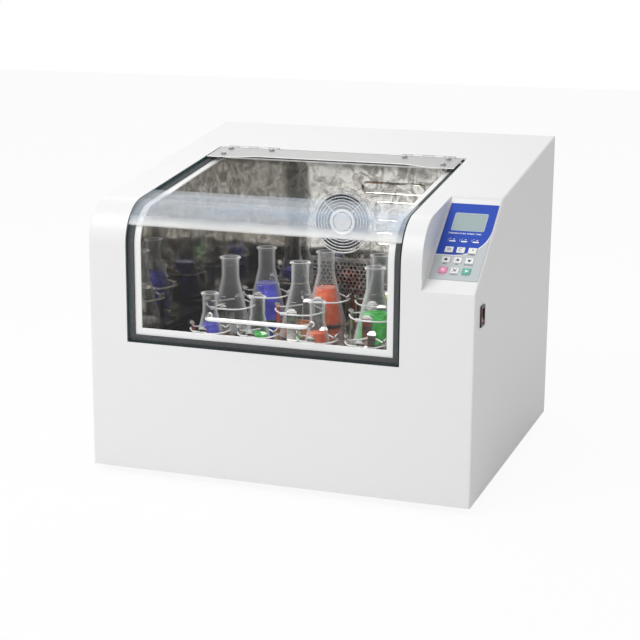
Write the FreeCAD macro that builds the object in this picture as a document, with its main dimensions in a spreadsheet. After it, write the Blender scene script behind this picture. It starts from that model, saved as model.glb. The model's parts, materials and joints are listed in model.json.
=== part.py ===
import FreeCAD, Part
import Sketcher
import math
import os
import re
from FreeCAD import Placement, Rotation, Vector

# Incubated benchtop shaker, millimetres, +Z up, front towards -Y.
# The origin is the middle of the whole envelope on the bench top.

SIZES = {
    "cabinet": {
        "width": 720, "depth": 640, "rear_height": 576, "top_angle": 8, "bend_radius": 80,
        "cabinet_wall": 2, "foot_height": 14, "foot_radius": 18, "foot_inset": 82, "foot_taper": 3,
        "pan_wall": 1.5, "pan_flange": 22, "rear_wall": 1.5, "rear_recess": 4, "fit_gap": 0.3,
        "louvre_length": 110, "louvre_height": 5, "louvre_pitch": 14, "louvre_count": 6,
        "louvre_low": 130, "louvre_side": 60, "overrun": 5,
    },
    "lid": {
        "lid_side": 76, "lid_far_side": 133, "lid_bottom": 242, "lid_thickness": 6, "lid_gap": 2,
        "hinge_from_rear": 203, "hinge_setback": 6, "hinge_pin_radius": 2, "pin_running_gap": 0.05,
        "knuckle_radius": 3.5, "knuckle_length": 21, "knuckle_gap": 0.5, "hinge_reach": 182,
        "knuckle_clearance": 0.5, "leaf_thickness": 1.2, "leaf_drop": 8.5, "leaf_neck": 4.5,
        "strip_thickness": 1.5, "screw_gap": 0.05,
        "strip_deep": 58, "strip_shallow": 40, "strip_end": 57, "strip_slant": 40,
        "strip_side": 3, "lid_screw_radius": 5, "lid_screw_head": 3, "lid_screw_shank": 2.5,
        "lid_screw_rear": 10, "lid_screw_front": 50, "lid_screw_inner": 138, "lid_screw_outer": 226,
        "lid_screw_tail": 5, "lid_screw_bite": 4, "handle_reach": 34, "handle_radius": 4, "handle_span": 192,
        "handle_bend": 14, "handle_height": 303, "handle_offset": 3,
    },
    "seat": {
        "seat_drop": 9, "seat_wall": 2, "seat_floor": 3, "gasket_width": 13, "gasket_edge": 0.6,
        "rim_width": 12, "rear_rail": 14, "gasket_rear": 9,
    },
    "chamber": {
        "liner_wall": 1.2, "liner_seam": 0.05, "chamber_rear": 455,
        "chamber_floor": 165, "floor_hole_gap": 4, "foam_wall": 25, "foam_gap": 0.2,
        "foam_drop": 76,
    },
    "fan": {
        "fan_offset": 0.5, "fan_drop": 170, "fan_bore": 57, "fan_frame": 126, "fan_frame_depth": 25,
        "fan_hub": 20, "fan_hub_depth": 16, "fan_blade_tip": 54, "fan_blade_wall": 2,
        "fan_blades": 7, "fan_blade_chord": 18, "fan_blade_pitch": 35, "fan_shaft": 3, "fan_strut": 8,
        "fan_strut_depth": 3, "fan_hub_start": 3, "guard_radius": 64, "guard_ring": 2.4,
        "guard_thickness": 2.4, "guard_hub": 16, "guard_rings": 5, "guard_sides": 28,
        "guard_spoke": 3,
        "grille_offset": -4.5, "grille_low_share": 0.4157, "grille_high_share": 0.9438,
        "grille_width": 134, "grille_wall": 1.5, "grille_lap": 6, "grille_slot": 4, "grille_end": 11,
        "grille_slots": 8, "heater_depth": 24, "heater_fin": 1.5, "heater_fins": 9,
        "heater_margin": 10, "heater_bar": 10, "probe_radius": 3, "probe_length": 70,
        "probe_side": 220, "probe_drop": 196, "probe_nut": 7, "probe_nut_length": 5,
    },
    "drive": {
        "eccentricity": 10, "drive_offset": 4.5, "drive_back": 236, "plate_side": 50, "plate_end": 55,
        "base_plate": 6,
        "base_level": 34, "isolator_radius": 16, "isolator_inset": 28, "shaft_radius": 12,
        "shaft_running_gap": 0.05, "bearing_radius": 30, "bearing_top": 98, "bearing_flange": 42,
        "bearing_flange_wall": 8, "crank_back": 80, "pulley_low": 103,
        "pulley_width": 16, "pulley_radius": 78, "pulley_rim": 8, "pulley_lip": 3,
        "pulley_hub": 26, "pulley_web": 5, "belt_wall": 3, "belt_gap": 0.3,
        "belt_width": 12, "motor_pulley_radius": 19.5, "motor_offset": 150, "motor_radius": 44,
        "motor_shaft": 6, "motor_boss": 12, "motor_boss_height": 3, "motor_top": 92, "counter_low": 124,
        "counter_high": 148, "counter_radius": 80, "counter_hub": 22, "counter_edge": 8, "web_low": 174,
        "web_high": 182, "web_radius": 26, "pin_radius": 8, "pin_top": 196,
        "idler_shaft_radius": 9, "idler_block": 44, "idler_web_radius": 20,
        "idler_reach_x": 150, "idler_reach_y": 110, "shaft_lift": 2,
    },
    "platform": {
        "tray_margin": 24.3, "tray_depth": 388, "tray_top": 212, "tray_wall": 3, "tray_lip": 9,
        "carriage_low": 184.5, "carriage_bar": 34, "knob_radius": 8, "knob_height": 5,
        "knob_side": 16, "knob_front": 70, "knob_back": 82, "knob_shank": 3, "knob_tail": 4,
    },
    "clamps": {
        "clamp_wall": 1.5, "large_clamp_share": 0.0983, "large_arm_width": 20, "large_arm_height": 58,
        "large_wire_height": 53, "small_clamp_share": 0.0748, "small_arm_width": 15,
        "small_arm_height": 50, "small_wire_height": 43, "wire_radius": 1.5, "tip_flare": 5,
        "tip_height": 7, "tube_radius": 3, "tube_length": 5, "wire_sides": 8,
    },
    "flasks": {
        "large_play": 5, "large_height": 145, "large_neck": 17, "large_rim": 21,
        "large_shoulder": 104, "small_play": 3.5, "small_height": 110, "small_neck": 13.5,
        "small_rim": 17, "small_shoulder": 76, "glass_wall": 2, "base_edge": 6, "rim_wall": 4,
        "fill_gap": 0.15, "flask_sides": 36,
    },
    "console": {
        "console_width": 94, "console_drop": 200, "console_run": 188, "panel_width": 86,
        "panel_low": 30, "panel_length": 183, "panel_wall": 1.5, "panel_side": 4,
        "panel_lap": 6,
        "window_width": 57, "window_height": 42, "window_up": 168, "window_wall": 2.4,
        "key_width": 14.5, "key_height": 13, "key_wall": 5, "key_proud": 1, "key_gap": 0.4,
        "key_pitch_x": 20.6, "key_pitch_up": 24.2, "key_mid_up": 75.5, "key_mid_side": 48,
        "key_flange": 1, "key_flange_wall": 2, "key_travel_gap": 0.7, "board_wall": 1.6,
        "board_margin": 5, "board_switch": 6, "board_switch_height": 3, "board_post": 6,
    },
    "switch": {
        "switch_drop": 245, "switch_back": 49, "bezel_height": 37, "bezel_width": 27,
        "bezel_reach": 2.5, "bezel_wall": 3, "bezel_depth": 22, "barrel_wall": 2,
        "rocker_gap": 0.4, "rocker_half": 12.2, "rocker_end": 7.5, "rocker_dip": 5.9,
        "rocker_heel": 1, "rocker_back": 4, "rocker_keel": 3, "rocker_tilt": 7,
        "pivot_depth": 6.8, "pivot_radius": 1.5, "pivot_length": 1.9,
    },
    "services": {
        "supply_width": 160, "supply_depth": 90, "supply_height": 50, "supply_side": 40,
        "supply_back": 12, "supply_tab": 12, "supply_tab_wall": 2,
        "inlet_width": 50, "inlet_height": 28, "inlet_depth": 20, "inlet_up": 80,
        "inlet_side": 90, "inlet_lap": 5, "inlet_wall": 3, "inlet_flange": 2.5,
        "inlet_pin": 4, "inlet_pin_pitch": 10,
    },
}

DERIVED = {
    # cabinet planes
    "left": "-(width + bezel_reach) / 2",
    "right": "left + width",
    "front": "(handle_reach - depth) / 2",
    "rear": "front + depth",
    "base": "foot_height",
    "top": "base + rear_height",
    "bend_length": "bend_radius * tan((90 - top_angle) / 2)",
    "front_top": "top - depth * tan(top_angle)",
    "bend_y": "front + bend_radius",
    "bend_z": "front_top - bend_length",
    "slope_y": "bend_y - bend_radius * sin(top_angle)",
    "slope_z": "bend_z + bend_radius * cos(top_angle)",
    # lid outline and hinge line, runs are measured up the slope from the end of the bend
    "lid_left": "left + lid_side",
    "lid_right": "right - lid_far_side",
    "lid_middle": "(lid_left + lid_right) / 2",
    "lid_low": "base + lid_bottom",
    "hinge_y": "rear - hinge_from_rear",
    "hinge_run": "(hinge_y - slope_y) / cos(top_angle)",
    "lid_run": "hinge_run - hinge_setback",
    "opening_run": "hinge_run + knuckle_radius + knuckle_clearance",
    # chamber
    "room_left": "lid_left - lid_gap - seat_wall + liner_wall",
    "room_right": "lid_right + lid_gap + seat_wall - liner_wall",
    "seat_depth": "seat_drop + seat_floor",
    "room_front": "front + seat_depth + liner_wall",
    "room_rear": "front + chamber_rear",
    "room_floor": "base + chamber_floor",
    "rim_step": "gasket_edge + gasket_width + rim_width - lid_gap",
    "window_left": "lid_left + rim_step",
    "window_right": "lid_right - rim_step",
    "sill": "lid_low + rim_step",
    "window_run": "lid_run - gasket_rear - gasket_width - rim_width",
    # platform drive, all shafts stand at their pins' rest side
    "drive_x": "lid_middle + drive_offset",
    "drive_y": "front + drive_back",
    "crank_y": "drive_y + crank_back",
    "idler_y": "drive_y - idler_reach_y",
    "base_length": "(idler_reach_x + plate_side) * 2",
    "base_width": "(idler_reach_y + plate_end) * 2",
    "tray_x": "drive_x + eccentricity",
    "tray_width": "room_right - room_left - tray_margin * 2",
    "tray_low": "base + tray_top - tray_wall",
    "base_low": "base + base_level",
    "base_high": "base_low + base_plate",
    "belt_low": "base + pulley_low + (pulley_width - belt_width) / 2",
    "motor_x": "drive_x + motor_offset",
    "lip_wall": "(pulley_width - belt_width) / 2 - belt_gap",
    # clamps and flasks
    "large_reach": "tray_width * large_clamp_share",
    "small_reach": "tray_width * small_clamp_share",
    "large_base": "large_reach - large_play",
    "small_base": "small_reach - small_play",
    # rear services
    "fan_mid": "lid_middle + fan_offset",
    "fan_high": "top - fan_drop",
    "fan_low": "fan_high - fan_frame / 2",
    "grille_mid": "lid_middle + grille_offset",
    "grille_low": "room_floor + (fan_low - room_floor) * grille_low_share",
    "grille_high": "room_floor + (fan_low - room_floor) * grille_high_share",
    "grille_height": "grille_high - grille_low",
    "grille_pitch": "(grille_height - grille_end * 2 - grille_slot) / (grille_slots - 1)",
    "probe_mid": "right - probe_side",
    "probe_high": "top - probe_drop",
    "back_face": "room_rear + liner_wall",
    "rear_face": "rear - rear_recess",
    # console plane
    "console_low": "top - console_drop",
    "console_rise": "front_top + console_run * tan(top_angle) - console_low",
    "console_angle": "atan(console_rise / console_run)",
    "console_left": "right - console_width",
    "switch_y": "front + switch_back",
    "switch_z": "top - switch_drop",
    "panel_right": "right - panel_side",
    "key_x": "right - key_mid_side",
    "key_low": "panel_wall + key_proud - key_wall",
}

doc = FreeCAD.newDocument("IncubatedShaker")
sizes = doc.addObject("Spreadsheet::Sheet", "Sizes")
row = 0
for group, entries in SIZES.items():
    row += 1
    sizes.set(f"A{row}", group)
    for alias, number in entries.items():
        row += 1
        sizes.set(f"A{row}", alias)
        sizes.set(f"B{row}", str(number))
        sizes.setAlias(f"B{row}", alias)
doc.recompute()

ALIASES = [alias for entries in SIZES.values() for alias in entries]
places = doc.addObject("App::VarSet", "Places")


def linked(text):
    """Point every named size or place in an expression at its cell or property."""
    def owner(match):
        word = match.group(0)
        if word in ALIASES:
            return f"Sizes.{word}"
        return f"Places.{word}" if word in DERIVED else word
    return re.sub(r"[a-z_][a-z_0-9]*", owner, text)


for place_name, rule in DERIVED.items():
    places.addProperty("App::PropertyFloat", place_name, "Derived")
for place_name, rule in DERIVED.items():
    places.setExpression(place_name, linked(rule))
doc.recompute()


def at(name):
    """Read one named size or place as a plain number."""
    return float(getattr(places, name) if name in DERIVED else getattr(sizes, name))


finished = []


def finish(node, label):
    """Give a finished sub-part its file name."""
    node.Label = label
    finished.append(node)
    return node


def bind(node, **rules):
    """Bind properties of an object to expressions on the sheet."""
    for path, rule in rules.items():
        node.setExpression(path.replace("__", "."), linked(str(rule)))
    return node


def set_place(node, corner, angle=None, axis=None):
    """Bind an object's position, and its turn about one axis."""
    if axis is not None:
        node.Placement = Placement(Vector(), Rotation(axis, 1))
        node.setExpression("Placement.Rotation.Angle", linked(angle))
    for letter, rule in zip("xyz", corner):
        node.setExpression(f"Placement.Base.{letter}", linked(str(rule)))
    return node


def box(name, corner, size):
    """A block from its low corner and its three sizes."""
    node = doc.addObject("Part::Box", name)
    bind(node, Length=size[0], Width=size[1], Height=size[2])
    return set_place(node, corner)


TURNS = {"z": None, "x": (Vector(0, 1, 0), "90"), "y": (Vector(1, 0, 0), "-90")}


def rod(name, foot, radius, length, along="z"):
    """A round bar from the centre of its low end."""
    node = doc.addObject("Part::Cylinder", name)
    bind(node, Radius=radius, Height=length)
    if TURNS[along] is None:
        return set_place(node, foot)
    return set_place(node, foot, TURNS[along][1], TURNS[along][0])


def cone(name, foot, low_radius, high_radius, length):
    """A tapered round bar standing on its low end."""
    node = doc.addObject("Part::Cone", name)
    bind(node, Radius1=low_radius, Radius2=high_radius, Height=length)
    return set_place(node, foot)


def fused(name, pieces):
    """Join pieces into one solid."""
    node = doc.addObject("Part::MultiFuse", name)
    node.Shapes = pieces
    node.Refine = True
    return node


def cut(name, body, tools):
    """Take tools away from a body."""
    node = doc.addObject("Part::Cut", name)
    node.Base = body
    node.Tool = tools[0] if len(tools) == 1 else fused(f"{name}_tools", tools)
    return node


def group(name, pieces):
    """Keep equal separate pieces together in one sub-part."""
    node = doc.addObject("Part::Compound", name)
    node.Links = pieces
    return node


def solid(label, shape):
    """A sub-part whose shape is computed here from the sheet's values."""
    node = doc.addObject("Part::Feature", label)
    node.Shape = shape
    return finish(node, label)


def outline_sketch(body, name, plane, points):
    """A closed outline whose corners are bound to the sheet, on an origin plane."""
    sketch = body.newObject("Sketcher::SketchObject", name)
    origin_plane = [item for item in body.Origin.OriginFeatures if item.Role == plane][0]
    sketch.AttachmentSupport = [(origin_plane, "")]
    sketch.MapMode = "FlatFace"
    rough = [(index + 1.0, (index * index) % 7 + 1.0) for index in range(len(points))]
    for index, (across, up) in enumerate(rough):
        next_across, next_up = rough[(index + 1) % len(rough)]
        line = Part.LineSegment(Vector(across, up, 0), Vector(next_across, next_up, 0))
        sketch.addGeometry(line, False)
    for index in range(len(points)):
        sketch.addConstraint(Sketcher.Constraint("Coincident", index, 2, (index + 1) % len(points), 1))
    for index, (across, up) in enumerate(points):
        for kind, rule in (("DistanceX", across), ("DistanceY", up)):
            number = sketch.addConstraint(Sketcher.Constraint(kind, -1, 1, index, 1, 1.0))
            label = f"{kind}{index}"
            sketch.renameConstraint(number, label)
            sketch.setExpression(f"Constraints.{label}", linked(str(rule)))
    return sketch


def turned(name, points):
    """A body of revolution about Z from half-outline points (radius, height)."""
    body = doc.addObject("PartDesign::Body", name)
    sketch = outline_sketch(body, f"{name}_outline", "XZ_Plane", points)
    feature = body.newObject("PartDesign::Revolution", f"{name}_turn")
    feature.Profile = sketch
    feature.ReferenceAxis = (sketch, ["V_Axis"])
    feature.Angle = 360
    return body


def on_console(node):
    """Tilt a sub-part that was built flat onto the console plane."""
    return set_place(node, ("0", "front", "console_low"), "console_angle", Vector(1, 0, 0))


# Shapes that follow the bent skin of the cabinet and lid


def skin_edges(inset, low, run):
    """The skin's side profile: front, bend and slope, moved inwards by an inset."""
    angle = math.radians(at("top_angle"))
    radius = at("bend_radius") - inset
    centre = Vector(0, at("bend_y"), at("bend_z"))
    middle = (math.pi + math.pi / 2 + angle) / 2
    foot = Vector(0, at("front") + inset, low)
    bend_start = centre + Vector(0, -radius, 0)
    bend_middle = centre + Vector(0, radius * math.cos(middle), radius * math.sin(middle))
    bend_end = centre + Vector(0, -radius * math.sin(angle), radius * math.cos(angle))
    top = bend_end + Vector(0, run * math.cos(angle), run * math.sin(angle))
    edges = [
        Part.LineSegment(foot, bend_start).toShape(),
        Part.Arc(bend_start, bend_middle, bend_end).toShape(),
        Part.LineSegment(bend_end, top).toShape(),
    ]
    return edges, foot, top


def skin_band(low_x, high_x, outer, inner, low, run):
    """A bent sheet between two insets of the skin."""
    outer_edges, outer_foot, outer_top = skin_edges(outer, low, run)
    inner_edges, inner_foot, inner_top = skin_edges(inner, low, run)
    ends = [
        Part.LineSegment(outer_top, inner_top).toShape(),
        Part.LineSegment(inner_foot, outer_foot).toShape(),
    ]
    wire = Part.Wire(Part.__sortEdges__(outer_edges + inner_edges + ends))
    face = Part.Face(wire)
    face.translate(Vector(low_x, 0, 0))
    return face.extrude(Vector(high_x - low_x, 0, 0))


def skin_block(low_x, high_x, inset, low, back):
    """Everything under the skin at an inset, from a floor height to a rear plane."""
    angle = math.radians(at("top_angle"))
    bend_end = at("bend_y") - (at("bend_radius") - inset) * math.sin(angle)
    edges, foot, top = skin_edges(inset, low, (back - bend_end) / math.cos(angle))
    heel = Vector(0, top.y, low)
    edges += [Part.LineSegment(top, heel).toShape(), Part.LineSegment(heel, foot).toShape()]
    face = Part.Face(Part.Wire(Part.__sortEdges__(edges)))
    face.translate(Vector(low_x, 0, 0))
    return face.extrude(Vector(high_x - low_x, 0, 0))


def plain_box(low, high):
    """A block between two corners."""
    return Part.makeBox(high[0] - low[0], high[1] - low[1], high[2] - low[2], Vector(*low))


def above_console(low_x, high_x, sink):
    """The space over the console plane, which the skin leaves open."""
    length = at("console_run")
    space = Part.makeBox(high_x - low_x, length * 3, length, Vector(low_x, -length, -sink))
    angle = at("console_angle")
    space.Placement = Placement(Vector(0, at("front"), at("console_low")), Rotation(Vector(1, 0, 0), angle))
    return space


def cabinet_shell():
    """Bent painted skin: front, sloping top and sides, with the lid and console openings."""
    wall = at("cabinet_wall")
    over = at("overrun")
    gap = at("lid_gap")
    outer = skin_block(at("left"), at("right"), 0, at("base"), at("rear"))
    outer = outer.cut(above_console(at("console_left"), at("right") + over, 0))
    inner = skin_block(at("left") + wall, at("right") - wall, wall, at("base") - over, at("rear") + over)
    inner = inner.cut(above_console(at("console_left") - wall, at("right") + over, wall))
    shell = outer.cut(inner)
    opening = skin_band(at("lid_left") - gap, at("lid_right") + gap, -over, wall + over,
                        at("lid_low") - gap, at("opening_run"))
    shell = shell.cut(opening)
    side = at("right") - at("panel_side")
    lap = at("panel_lap")
    panel_hole = plain_box((side - at("panel_width") + lap, at("panel_low") + lap, -wall - over),
                           (side - lap, at("panel_low") + at("panel_length") - lap, over))
    panel_hole.Placement = Placement(Vector(0, at("front"), at("console_low")),
                                     Rotation(Vector(1, 0, 0), at("console_angle")))
    half_width = at("bezel_width") / 2 - at("bezel_wall")
    half_height = at("bezel_height") / 2 - at("bezel_wall")
    switch_hole = plain_box((at("right") - wall - over, at("switch_y") - half_width, at("switch_z") - half_height),
                            (at("right") + over, at("switch_y") + half_width, at("switch_z") + half_height))
    return shell.cut([panel_hole, switch_hole])


def lid_frame():
    """White seat round the opening: outer wall, recessed floor and the rail behind the hinges."""
    gap = at("lid_gap")
    wall = at("seat_wall")
    over = at("overrun")
    rail_run = (at("room_rear") + at("rear_rail") - at("slope_y")) / math.cos(math.radians(at("top_angle")))
    body = skin_band(at("lid_left") - gap - wall, at("lid_right") + gap + wall, at("cabinet_wall"),
                     at("seat_depth"), at("lid_low") - gap - wall, rail_run)
    recess = skin_band(at("lid_left") - gap, at("lid_right") + gap, -over, at("seat_drop"),
                       at("lid_low") - gap, at("opening_run"))
    window = skin_band(at("window_left"), at("window_right"), -over, at("seat_depth") + over,
                       at("sill"), at("window_run"))
    return body.cut([recess, window])


def lid_gasket():
    """Flat foam seal under the lid's edge."""
    edge = at("lid_gap") - at("gasket_edge")
    width = at("gasket_width")
    under = at("lid_thickness") + at("fit_gap")
    run = at("lid_run") - at("gasket_rear")
    low_x = at("lid_left") - edge
    high_x = at("lid_right") + edge
    body = skin_band(low_x, high_x, under, at("seat_drop"), at("lid_low") - edge, run)
    over = at("overrun")
    middle = skin_band(low_x + width, high_x - width, under - over, at("seat_drop") + over,
                       at("lid_low") - edge + width, run - width)
    return body.cut(middle)


def round_bar(radius, low, direction, length):
    """A plain cylinder along a direction."""
    return Part.makeCylinder(radius, length, low, direction)


def chamber_liner():
    """Stainless tub open under the lid, with drive, fan, grille and probe holes."""
    wall = at("liner_wall")
    over = at("overrun")
    low_x, high_x = at("room_left"), at("room_right")
    low_y, high_y = at("room_front"), at("room_rear")
    floor = at("room_floor")
    roof = at("top")
    under = at("seat_depth") + at("liner_seam")
    tub = skin_block(low_x - wall, high_x + wall, under, floor - wall, high_y + wall)
    tub = tub.common(plain_box((low_x - wall, low_y - wall, floor - wall), (high_x + wall, high_y + wall, roof)))
    holes = [plain_box((low_x, low_y, floor), (high_x, high_y, roof))]
    holes.append(plain_box((low_x, low_y - wall - over, at("sill")), (high_x, low_y + over, roof)))
    down = Vector(0, 0, 1)
    shaft_hole = at("shaft_radius") + at("floor_hole_gap")
    for centre in shaft_places():
        holes.append(round_bar(shaft_hole, Vector(centre[0], centre[1], floor - wall - over), down, wall + over * 2))
    back = Vector(0, 1, 0)
    holes.append(round_bar(at("fan_bore"), Vector(at("fan_mid"), high_y - over, at("fan_high")), back, over * 3))
    lap = at("grille_lap")
    half_width = at("grille_width") / 2 - lap
    holes.append(plain_box((at("grille_mid") - half_width, high_y - over, at("grille_low") + lap),
                           (at("grille_mid") + half_width, high_y + over, at("grille_high") - lap)))
    probe = Vector(at("probe_mid"), high_y - over, at("probe_high"))
    holes.append(round_bar(at("probe_radius") + at("pin_running_gap"), probe, back, over * 3))
    return tub.cut(holes)


def shaft_places():
    """Centres of the driven shaft and of the two idlers."""
    return [
        (at("drive_x"), at("crank_y")),
        (at("drive_x") - at("idler_reach_x"), at("idler_y")),
        (at("drive_x") + at("idler_reach_x"), at("idler_y")),
    ]


def insulation():
    """Foam slabs against the liner's sides, front and back, clear of fan and grille."""
    foam = at("foam_wall")
    gap = at("foam_gap")
    wall = at("liner_wall") + gap
    low_x, high_x = at("room_left") - wall, at("room_right") + wall
    high_y = at("room_rear") + wall
    floor = at("room_floor")
    rear_top = at("top") - at("foam_drop")
    fan_side = at("fan_frame") / 2 + gap
    under = at("seat_depth") + gap
    slabs = [
        skin_block(low_x - foam, low_x, under, floor, high_y),
        skin_block(high_x, high_x + foam, under, floor, high_y),
        plain_box((low_x, high_y, floor), (at("fan_mid") - fan_side, high_y + foam, rear_top)),
        plain_box((at("fan_mid") + fan_side, high_y, floor), (high_x, high_y + foam, rear_top)),
    ]
    probe = Vector(at("probe_mid"), high_y - at("overrun"), at("probe_high"))
    bore = round_bar(at("probe_nut") + gap, probe, Vector(0, 1, 0), foam * 2)
    return Part.makeCompound([slab.cut(bore) for slab in slabs])


def swept_bar(points, bends, radius):
    """A round bar along straight runs joined by arcs of the given bend radii."""
    edges = []
    start = points[0]
    for before, corner, after, bend in zip(points, points[1:], points[2:], bends):
        entry_way = (before - corner).normalize()
        exit_way = (after - corner).normalize()
        half = entry_way.getAngle(exit_way) / 2
        reach = bend / math.tan(half)
        entry = corner + entry_way * reach
        leave = corner + exit_way * reach
        middle = corner + (entry_way + exit_way).normalize() * (bend / math.sin(half) - bend)
        edges.append(Part.LineSegment(start, entry).toShape())
        edges.append(Part.Arc(entry, middle, leave).toShape())
        start = leave
    edges.append(Part.LineSegment(start, points[-1]).toShape())
    first_way = (points[1] - points[0]).normalize()
    ring = Part.Wire([Part.Circle(points[0], first_way, radius).toShape()])
    return Part.Wire(edges).makePipeShell([ring], True, False)


def lid_handle():
    """U-shaped pull standing on the lid's front."""
    radius = at("handle_radius")
    middle = at("lid_middle") + at("handle_offset")
    half = at("handle_span") / 2
    height = at("base") + at("handle_height")
    face = at("front")
    out = face - at("handle_reach") + radius
    points = [
        Vector(middle - half, face, height), Vector(middle - half, out, height),
        Vector(middle + half, out, height), Vector(middle + half, face, height),
    ]
    return swept_bar(points, [at("handle_bend")] * 2, radius)


def belt_loop(large, small, distance):
    """Face round two pulleys whose belt line has these radii."""
    lean = math.asin((large - small) / distance)
    up = Vector(math.sin(lean), math.cos(lean), 0)
    down = Vector(math.sin(lean), -math.cos(lean), 0)
    far = Vector(distance, 0, 0)
    edges = [
        Part.LineSegment(up * large, far + up * small).toShape(),
        Part.Arc(far + up * small, far + Vector(small, 0, 0), far + down * small).toShape(),
        Part.LineSegment(far + down * small, down * large).toShape(),
        Part.Arc(down * large, Vector(-large, 0, 0), up * large).toShape(),
    ]
    return Part.Face(Part.Wire(edges))


def drive_belt():
    """Flat belt from the motor pulley to the driven pulley."""
    large = at("pulley_radius") + at("belt_gap")
    small = at("motor_pulley_radius") + at("belt_gap")
    wall = at("belt_wall")
    distance = at("motor_offset")
    height = Vector(0, 0, at("belt_width"))
    loop = belt_loop(large + wall, small + wall, distance).extrude(height)
    loop = loop.cut(belt_loop(large, small, distance).extrude(height))
    loop.translate(Vector(at("drive_x"), at("crank_y"), at("belt_low")))
    return loop


def circle_corners(radius, sides, height=0):
    """Corners of a regular polygon round Z at a height."""
    turn = 2 * math.pi / sides
    return [Vector(radius * math.cos(turn * step), radius * math.sin(turn * step), height) for step in range(sides)]


def closed_face(corners):
    """The flat face inside a closed loop of corners."""
    return Part.Face(Part.makePolygon(corners + corners[:1]))


def polygon_ring(sides, outer, inner, thickness):
    """A flat many-sided ring in the wall plane."""
    ring = closed_face(circle_corners(outer, sides))
    if inner > 0:
        ring = ring.cut(closed_face(circle_corners(inner, sides)))
    ring = ring.extrude(Vector(0, 0, -thickness))
    ring.rotate(Vector(), Vector(1, 0, 0), 90)
    return ring


def many_sided(outline, sides):
    """A solid turned about Z in flat sides, from (radius, height) points that start and end on Z."""
    rings = [circle_corners(radius, sides, height) for radius, height in outline[1:-1]]
    faces = [closed_face(rings[0]), closed_face(rings[-1])]
    for low, high in zip(rings, rings[1:]):
        for step in range(sides):
            near = (step + 1) % sides
            faces.append(closed_face([low[step], low[near], high[near], high[step]]))
    body = Part.makeSolid(Part.makeShell(faces))
    if body.Volume < 0:
        body.reverse()
    return body


def fan_guard():
    """Concentric finger guard on the chamber's back wall."""
    sides = int(at("guard_sides"))
    rings = int(at("guard_rings"))
    wall = at("guard_thickness")
    outer = at("guard_radius")
    hub = at("guard_hub")
    pieces = [polygon_ring(sides, hub, 0, wall)]
    for step in range(rings):
        radius = hub + (outer - hub) * (step + 1) / rings
        pieces.append(polygon_ring(sides, radius, radius - at("guard_ring"), wall))
    for turn in (45, 135):
        spoke = Part.makeBox(outer * 2 - at("guard_ring"), wall, at("guard_spoke"),
                             Vector(at("guard_ring") / 2 - outer, 0, -at("guard_spoke") / 2))
        spoke.rotate(Vector(), Vector(0, 1, 0), turn)
        pieces.append(spoke)
    guard = pieces[0].fuse(pieces[1:]).removeSplitter()
    guard.translate(Vector(at("fan_mid"), at("room_rear") - wall, at("fan_high")))
    return guard


def fan_motor():
    """Square fan frame behind the wall, with the motor on rear struts and its shaft."""
    side = at("fan_frame")
    depth = at("fan_frame_depth")
    back = Vector(0, 1, 0)
    frame = Part.makeBox(side, depth, side, Vector(-side / 2, 0, -side / 2))
    frame = frame.cut(round_bar(at("fan_bore"), Vector(0, -depth, 0), back, depth * 3))
    strut_depth = at("fan_strut_depth")
    pieces = [frame]
    for turn in (0, 90):
        strut = Part.makeBox(side - at("fan_strut"), strut_depth, at("fan_strut"),
                             Vector((at("fan_strut") - side) / 2, depth - strut_depth, -at("fan_strut") / 2))
        strut.rotate(Vector(), back, turn)
        pieces.append(strut)
    motor_depth = depth - strut_depth - at("fan_hub_start") - at("fan_hub_depth") - at("fit_gap")
    pieces.append(round_bar(at("fan_hub"), Vector(0, depth - strut_depth - motor_depth, 0), back, motor_depth))
    shaft_length = at("fan_hub_depth") / 2 + at("fit_gap") + motor_depth
    pieces.append(round_bar(at("fan_shaft"), Vector(0, depth - strut_depth - shaft_length, 0), back, shaft_length))
    motor = pieces[0].fuse(pieces[1:]).removeSplitter()
    motor.translate(Vector(at("fan_mid"), at("back_face"), at("fan_high")))
    return motor


def fan_impeller():
    """Hub with pitched blades."""
    back = Vector(0, 1, 0)
    depth = at("fan_hub_depth")
    hub = round_bar(at("fan_hub"), Vector(), back, depth)
    blade_count = int(at("fan_blades"))
    inner = at("fan_hub") - at("fan_blade_wall")
    pieces = []
    for step in range(blade_count):
        blade = Part.makeBox(at("fan_blade_tip") - inner, at("fan_blade_wall"), at("fan_blade_chord"),
                             Vector(inner, -at("fan_blade_wall") / 2, -at("fan_blade_chord") / 2))
        blade.rotate(Vector(), Vector(1, 0, 0), 90 - at("fan_blade_pitch"))
        blade.translate(Vector(0, depth / 2, 0))
        blade.rotate(Vector(), back, 360 * step / blade_count)
        pieces.append(blade)
    wheel = hub.fuse(pieces)
    bore = round_bar(at("fan_shaft") + at("pin_running_gap"), Vector(0, depth / 2 - at("fit_gap"), 0), back, depth)
    wheel = wheel.cut(bore)
    wheel.translate(Vector(at("fan_mid"), at("back_face") + at("fan_hub_start"), at("fan_high")))
    return wheel


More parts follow.
